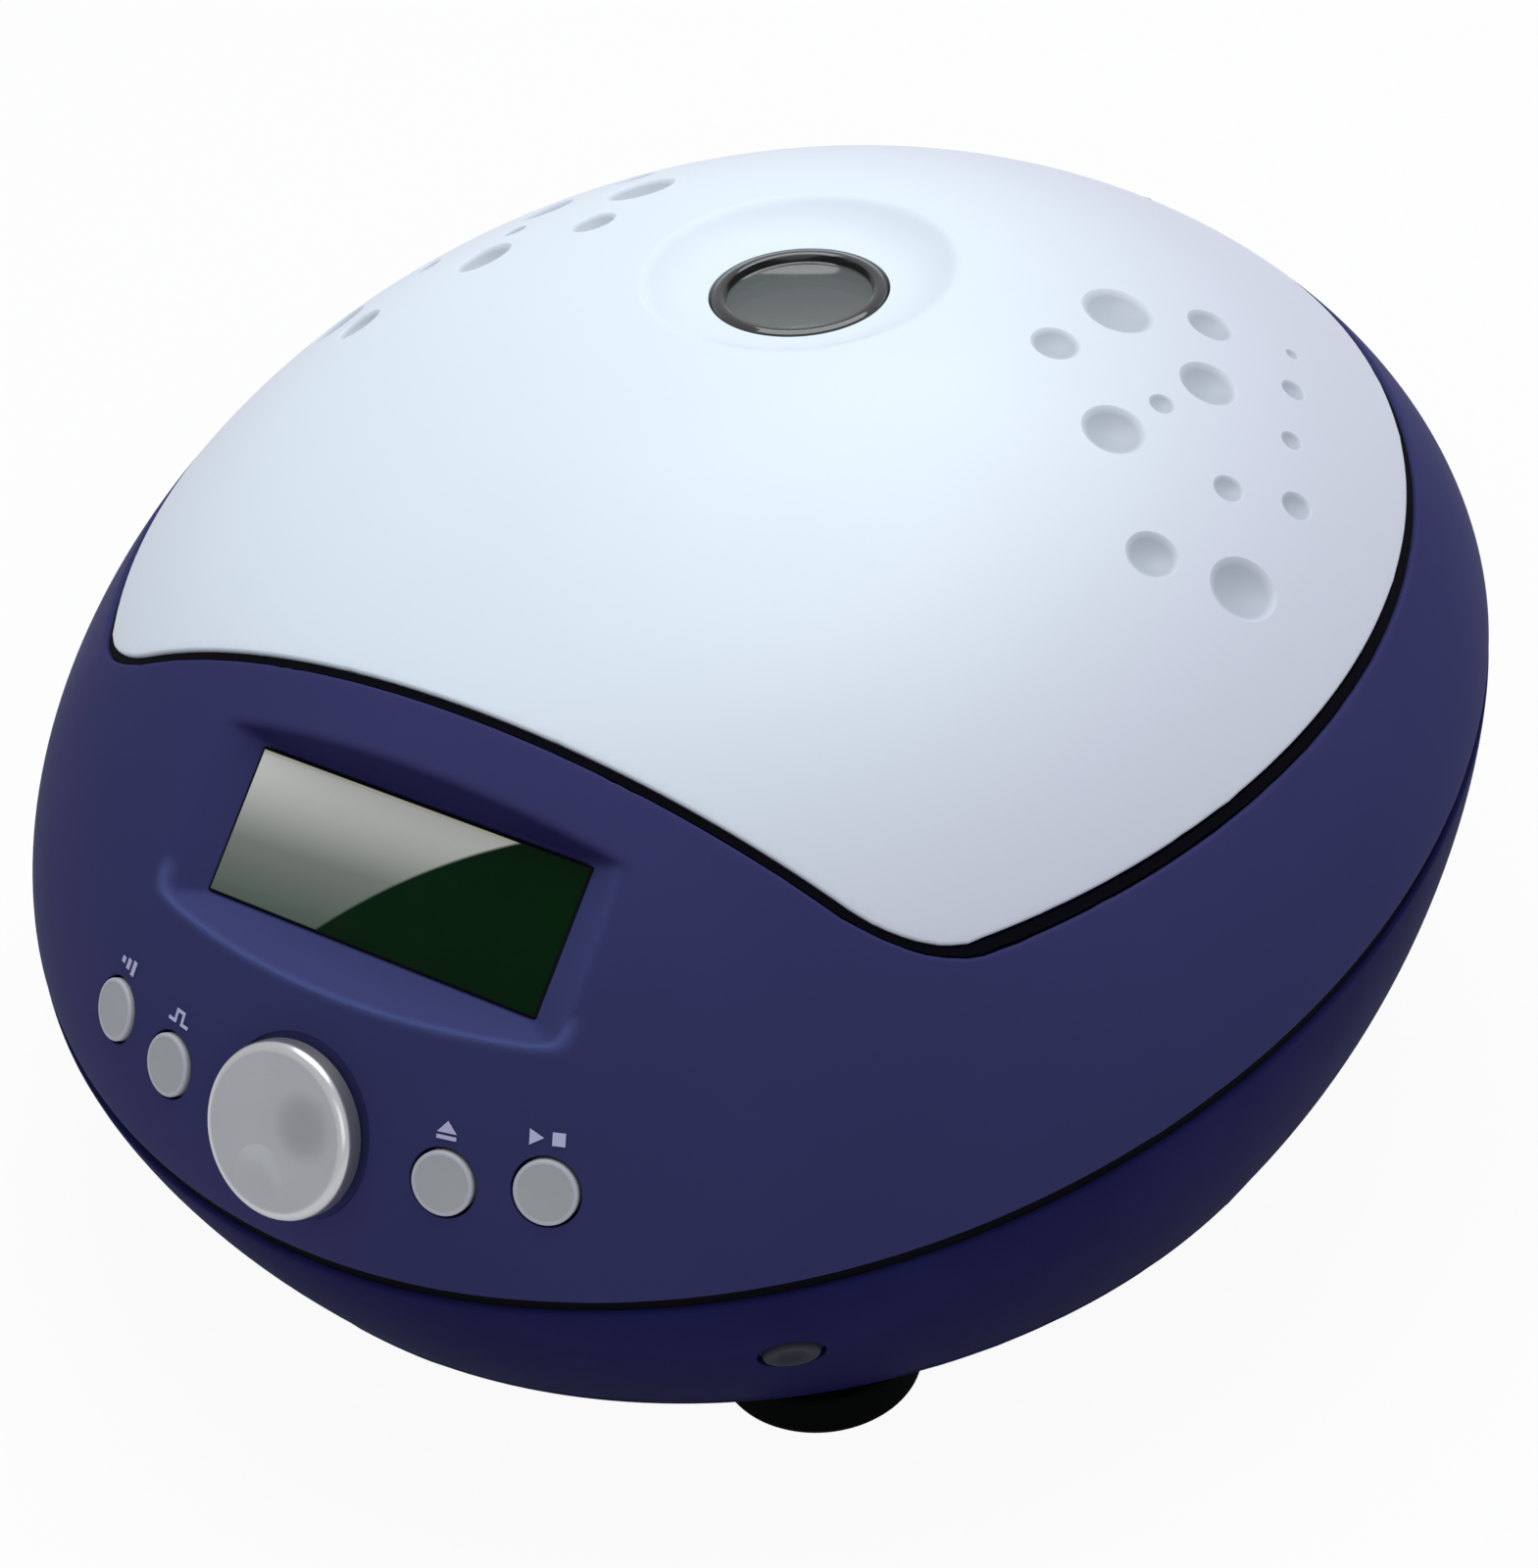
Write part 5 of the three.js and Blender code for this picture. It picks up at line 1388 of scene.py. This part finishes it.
addPlug()
feet = {
    "radius": 16.5 * mm,
    "hollow": 0.5 * mm,
    "hollowFrom": (0.55, 0.6),  # shares of the radius
    "round": (1.5 * mm, 1.8 * mm),
    "flat": 1.7 * mm,
    "top": 7.7 * mm,
    "topEase": (0.4 * mm, 0.6 * mm),
    "stem": 4 * mm,
    "stemTop": 11 * mm,
    "aside": 56 * mm,
    "along": {"front": -70 * mm, "rear": 72 * mm},
}


def addFeet():
    r, top, stem, stemTop = [feet[key] for key in ("radius", "top", "stem", "stemTop")]
    wide, high = feet["round"]
    inwards, down = feet["topEase"]
    start, end = feet["hollowFrom"]
    profile = [(0, feet["hollow"]), (r * start, feet["hollow"]), (r * end, 0), (r - feet["flat"], 0)]
    profile += arc((r - wide, high), feet["round"], -80, 0, 6)
    profile += [(r, top - down), (r - inwards, top), (stem, top), (stem, stemTop), (0, stemTop)]
    first = lathe("foot", profile)
    for side, right in (("left", -1), ("right", 1)):
        for end, along in feet["along"].items():
            piece = twin(first, f"foot{end.capitalize()}{side.capitalize()}")
            placed(piece, Matrix.Translation((right * feet["aside"], along + behind, 0)))
            dress(piece, "base", footRubber, [f"foot_{end}_{side}"])
    erase(first)


addFeet()
print("feet set")


# Chamber: bowl, rotor and nut, seen with the lid open
bowl = {
    "corner": (65 * mm, 52.5 * mm),
    "round": 8 * mm,
    "wall": 1.2 * mm,
    "hole": 14 * mm,
    "flange": 78 * mm,
    "under": 92.3 * mm,
    "top": 93.8 * mm,
    "sealFrom": 74.3 * mm,
    "sealTo": 77.2 * mm,
    "sealBead": (75.7 * mm, 94.5 * mm),
    "sealRound": (1.2 * mm, 1.2 * mm),
}


def addBowl():
    x, z = bowl["corner"]
    inner, outer = bowl["round"], bowl["round"] + bowl["wall"]
    top, wall, hole = bowl["top"], bowl["wall"], bowl["hole"]
    profile = [(hole, z - outer)] + arc((x, z), (outer, outer), -90, 0, 8)
    profile += [(x + outer, bowl["under"]), (bowl["flange"], bowl["under"]), (bowl["flange"], top)]
    profile += arc((x + outer, top - wall), (wall, wall), 90, 180, 4)
    profile += arc((x, z), (inner, inner), 0, -90, 8) + [(hole, z - inner), (hole, z - outer)]
    piece = placed(lathe("chamberBowl", profile, 144), atSpindle)
    dress(piece, "base", steel, ["chamber_bowl"])
    profile = [(bowl["sealFrom"], top), (bowl["sealTo"], top)]
    profile += arc(bowl["sealBead"], bowl["sealRound"], 0, 180, 10) + [(bowl["sealFrom"], top)]
    piece = placed(lathe("chamberSeal", profile, 144), atSpindle)
    dress(piece, "base", footRubber, ["chamber_seal"], 50)


addBowl()
rotor = {
    "base": 48 * mm,
    "mouth": 31 * mm,
    "mouthHigh": 36 * mm,
    "places": 12,
    "wall": 3 * mm,
    "deep": 38 * mm,
    "socket": 5.6 * mm,
    "tip": 2 * mm,
    "taper": -22 * mm,
    "flare": 6.3 * mm,
    "flareLow": -0.8 * mm,
    "flareHigh": 0.1 * mm,
    "over": 5 * mm,
    "shaft": 5.4 * mm,
    "hub": 16 * mm,
    "hubLow": 12 * mm,
    "hubTop": 34 * mm,
    "hubEase": 1.5 * mm,
    "foot": 19 * mm,
    "web": 6 * mm,
    "ease": 0.9 * mm,
}


def meeting(total, gap):  # the radius and height with that sum and that difference
    return (total + gap) / 2, (total - gap) / 2


def rotorProfile():  # a cone at 45 degrees on a hub, as the sockets lie
    root = math.sqrt(2)
    reach = (rotor["socket"] + rotor["wall"]) * root
    low = rotor["mouth"] + rotor["mouthHigh"] - reach
    high = rotor["mouth"] + rotor["mouthHigh"] + reach
    face = rotor["mouth"] - rotor["mouthHigh"]
    end = face + (rotor["deep"] + rotor["wall"] / 2) * root
    inner = meeting(low, face)
    web = inner[1] - rotor["web"]
    shaft, hub, hubLow, hubTop = [rotor[key] for key in ("shaft", "hub", "hubLow", "hubTop")]
    profile = [(shaft, hubLow), (hub, hubLow), (rotor["foot"], web), (low - web, web), meeting(low, end)]
    profile += [meeting(high, end), meeting(high, face), inner, (hub, inner[1])]
    return profile + [(hub - rotor["hubEase"], hubTop), (shaft, hubTop), (shaft, hubLow)]


def socketTool():
    deep, width, flare, over = [rotor[key] for key in ("deep", "socket", "flare", "over")]
    profile = [(0, -deep), (rotor["tip"], -deep), (width, rotor["taper"]), (width, rotor["flareLow"])]
    tool = lathe("socketTool", profile + [(flare, rotor["flareHigh"]), (flare, over), (0, over)], 40)
    mouth = Matrix.Translation((rotor["mouth"], 0, rotor["mouthHigh"]))
    return placed(tool, mouth @ Matrix.Rotation(-math.pi / 4, 4, "Y"))


def addRotor():
    piece = soften(lathe("rotor", rotorProfile(), 144), rotor["ease"], 3, 15)
    first = socketTool()
    for i in range(rotor["places"]):
        turn = Matrix.Rotation(fullTurn * i / rotor["places"], 4, "Z")
        carve(piece, placed(twin(first, "socketTool"), turn))
    erase(first)
    placed(piece, Matrix.Translation(lid["spindle"] + Vector((0, 0, rotor["base"]))))
    dress(piece, "rotor", alloy, ["rotor"], 25)


addRotor()
nut = {
    "low": 82.3 * mm,
    "side": [(0, 9), (4.3, 9), (4.3, 0), (11, 0), (11, 10)],  # radius and height over low, in millimetres
    "shoulder": (9.4, 11.3),
    "round": 1.6,
    "face": [(6, 13), (5.4, 12.4), (0, 12.4)],
    "grips": 8,
    "grip": 2 * mm,
    "gripAway": 12.1 * mm,
    "gripReach": (-1 * mm, 15 * mm),
}


def addNut():
    shoulder = arc(nut["shoulder"], (nut["round"], nut["round"]), 10, 85, 4)
    piece = lathe("rotorNut", millimetres(nut["side"] + shoulder + nut["face"]))
    for i in range(nut["grips"]):
        turn = fullTurn * i / nut["grips"]
        place = Vector((math.cos(turn), math.sin(turn), 0)) * nut["gripAway"]
        carve(piece, placed(bore(nut["grip"], *nut["gripReach"], 24), Matrix.Translation(place)))
    placed(piece, Matrix.Translation(lid["spindle"] + Vector((0, 0, nut["low"]))))
    dress(piece, "rotor", blackPlastic, ["rotor_nut"])


addNut()
print("rotor fitted")

# Smaller fittings: the CAD shapes with eased edges
bracket = {"cut": 12.4 * mm, "end": 15 * mm, "reach": 2.4 * mm, "narrow": 0.5, "ease": 0.3 * mm}


def addBracket(node, side):  # a hinge bracket whose barrel narrows to its outer end
    piece = merged(node)
    axis = hinge["place"]
    cutPlane(piece, Vector((side * bracket["cut"], 0, 0)), Vector((side, 0, 0)))
    end, reach = bracket["end"], bracket["reach"]
    choose(piece, lambda place: side * place.x > end and (place - axis).yz.length < reach)
    bpy.ops.transform.resize(value=(1, bracket["narrow"], bracket["narrow"]), center_override=axis)
    rest()
    soften(piece, bracket["ease"], fitting["segments"], fitting["bend"])
    dress(piece, "base", alloy, [node], fitting["smooth"])


softened("lid_hinge_arm", "lid", alloy, 0.4 * mm)
addBracket("hinge_bracket_left", -1)
addBracket("hinge_bracket_right", 1)
softened("lid_hook", "lid", steel, 0.3 * mm)
softened("power_inlet", "base", blackPlastic, 0.35 * mm)
softened("switch_frame", "base", blackPlastic, 0.35 * mm)
softened("switch_rocker", "switch_rocker", blackPlastic, 0.4 * mm)

slotFinishes = {
    "shell_blue": shellBlue,
    "belly_blue": bellyBlue,
    "lid_white": lidWhite,
    "liner_grey": linerGrey,
    "silver": satin,
    "button_grey": keyGrey,
    "black_plastic": blackPlastic,
    "rubber": footRubber,
    "steel": steel,
    "alloy": alloy,
    "circuit_board": circuitBoard,
    "plug_grey": plugGrey,
}


def dressNodes():  # the CAD nodes that stay get this script's finishes
    for entry in frame["record"]["subparts"]:
        name, slot = entry["node"], entry["material_slot"]
        node = frame["nodes"][name]
        if slot in slotFinishes:
            node.data.materials.clear()
            node.data.materials.append(slotFinishes[slot])


dressNodes()
print("inside dressed")

# Stage: a pale floor that shows white to the camera and keeps the shadow, and soft lamps
studio = {
    "floor": 9.0,
    "sky": 0.47,
    "white": 0.94,
    "sheen": 0.3,
    "lamps": {
        "keyLamp": {"place": (-0.08, 0.32, 1.1), "aim": (0, 0, 0.08), "size": 0.9, "power": 7.9},
        "fillLamp": {"place": (0.8, -0.9, 0.7), "aim": (0, 0, 0.06), "size": 0.8, "power": 1.2},
    },
}


def whitened(paint, plain, white, share):  # what the eye and the metal see turns to white by a share
    kinds = ("Camera", "Glossy", "Transmission")
    eye, metal, glass = [paint.add("ShaderNodeLightPath", output=f"Is {kind} Ray") for kind in kinds]
    seen = (eye * share + (metal + glass) * studio["sheen"]).least(1)
    return paint.add("ShaderNodeMixShader", None, {0: seen, 1: plain, 2: white})


def paintFloor():
    paint = Paint("paleFloor")
    plain = paint.add("ShaderNodeBsdfDiffuse", None, {"Color": tint(226, 226, 229)})
    white = paint.add("ShaderNodeEmission", None, {"Strength": 1.0})
    return paint.close(whitened(paint, plain, white, studio["white"]), "ShaderNodeOutputMaterial")


def paintSky():
    paint = Paint("studioSky", bpy.data.worlds.new("studioSky"))
    values = {"Color": (0.95, 0.97, 1, 1), "Strength": studio["sky"]}
    plain = paint.add("ShaderNodeBackground", None, values)
    white = paint.add("ShaderNodeBackground", None, {"Color": (1, 1, 1, 1), "Strength": 1.0})
    return paint.close(whitened(paint, plain, white, 1), "ShaderNodeOutputWorld")


def addStage():
    rest()
    bpy.ops.mesh.primitive_plane_add(size=studio["floor"], location=(0, 0, 0))
    floor = bpy.context.object
    floor.name = "floor"
    floor.data.materials.append(paintFloor())
    bpy.context.scene.world = paintSky()


def addLamp(name, place, aim, size, power):
    lamp = bpy.data.lights.new(name, "AREA")
    lamp.shape = "RECTANGLE"
    lamp.size = size
    lamp.size_y = size
    lamp.energy = power
    piece = bpy.data.objects.new(name, lamp)
    bpy.context.collection.objects.link(piece)
    way = Vector(aim) - Vector(place)
    piece.matrix_world = Matrix.Translation(place) @ way.to_track_quat("-Z", "Y").to_matrix().to_4x4()


addStage()
for name, lamp in studio["lamps"].items():
    addLamp(name, **lamp)
bpy.context.scene.view_settings.view_transform = "Standard"
print("stage lit")
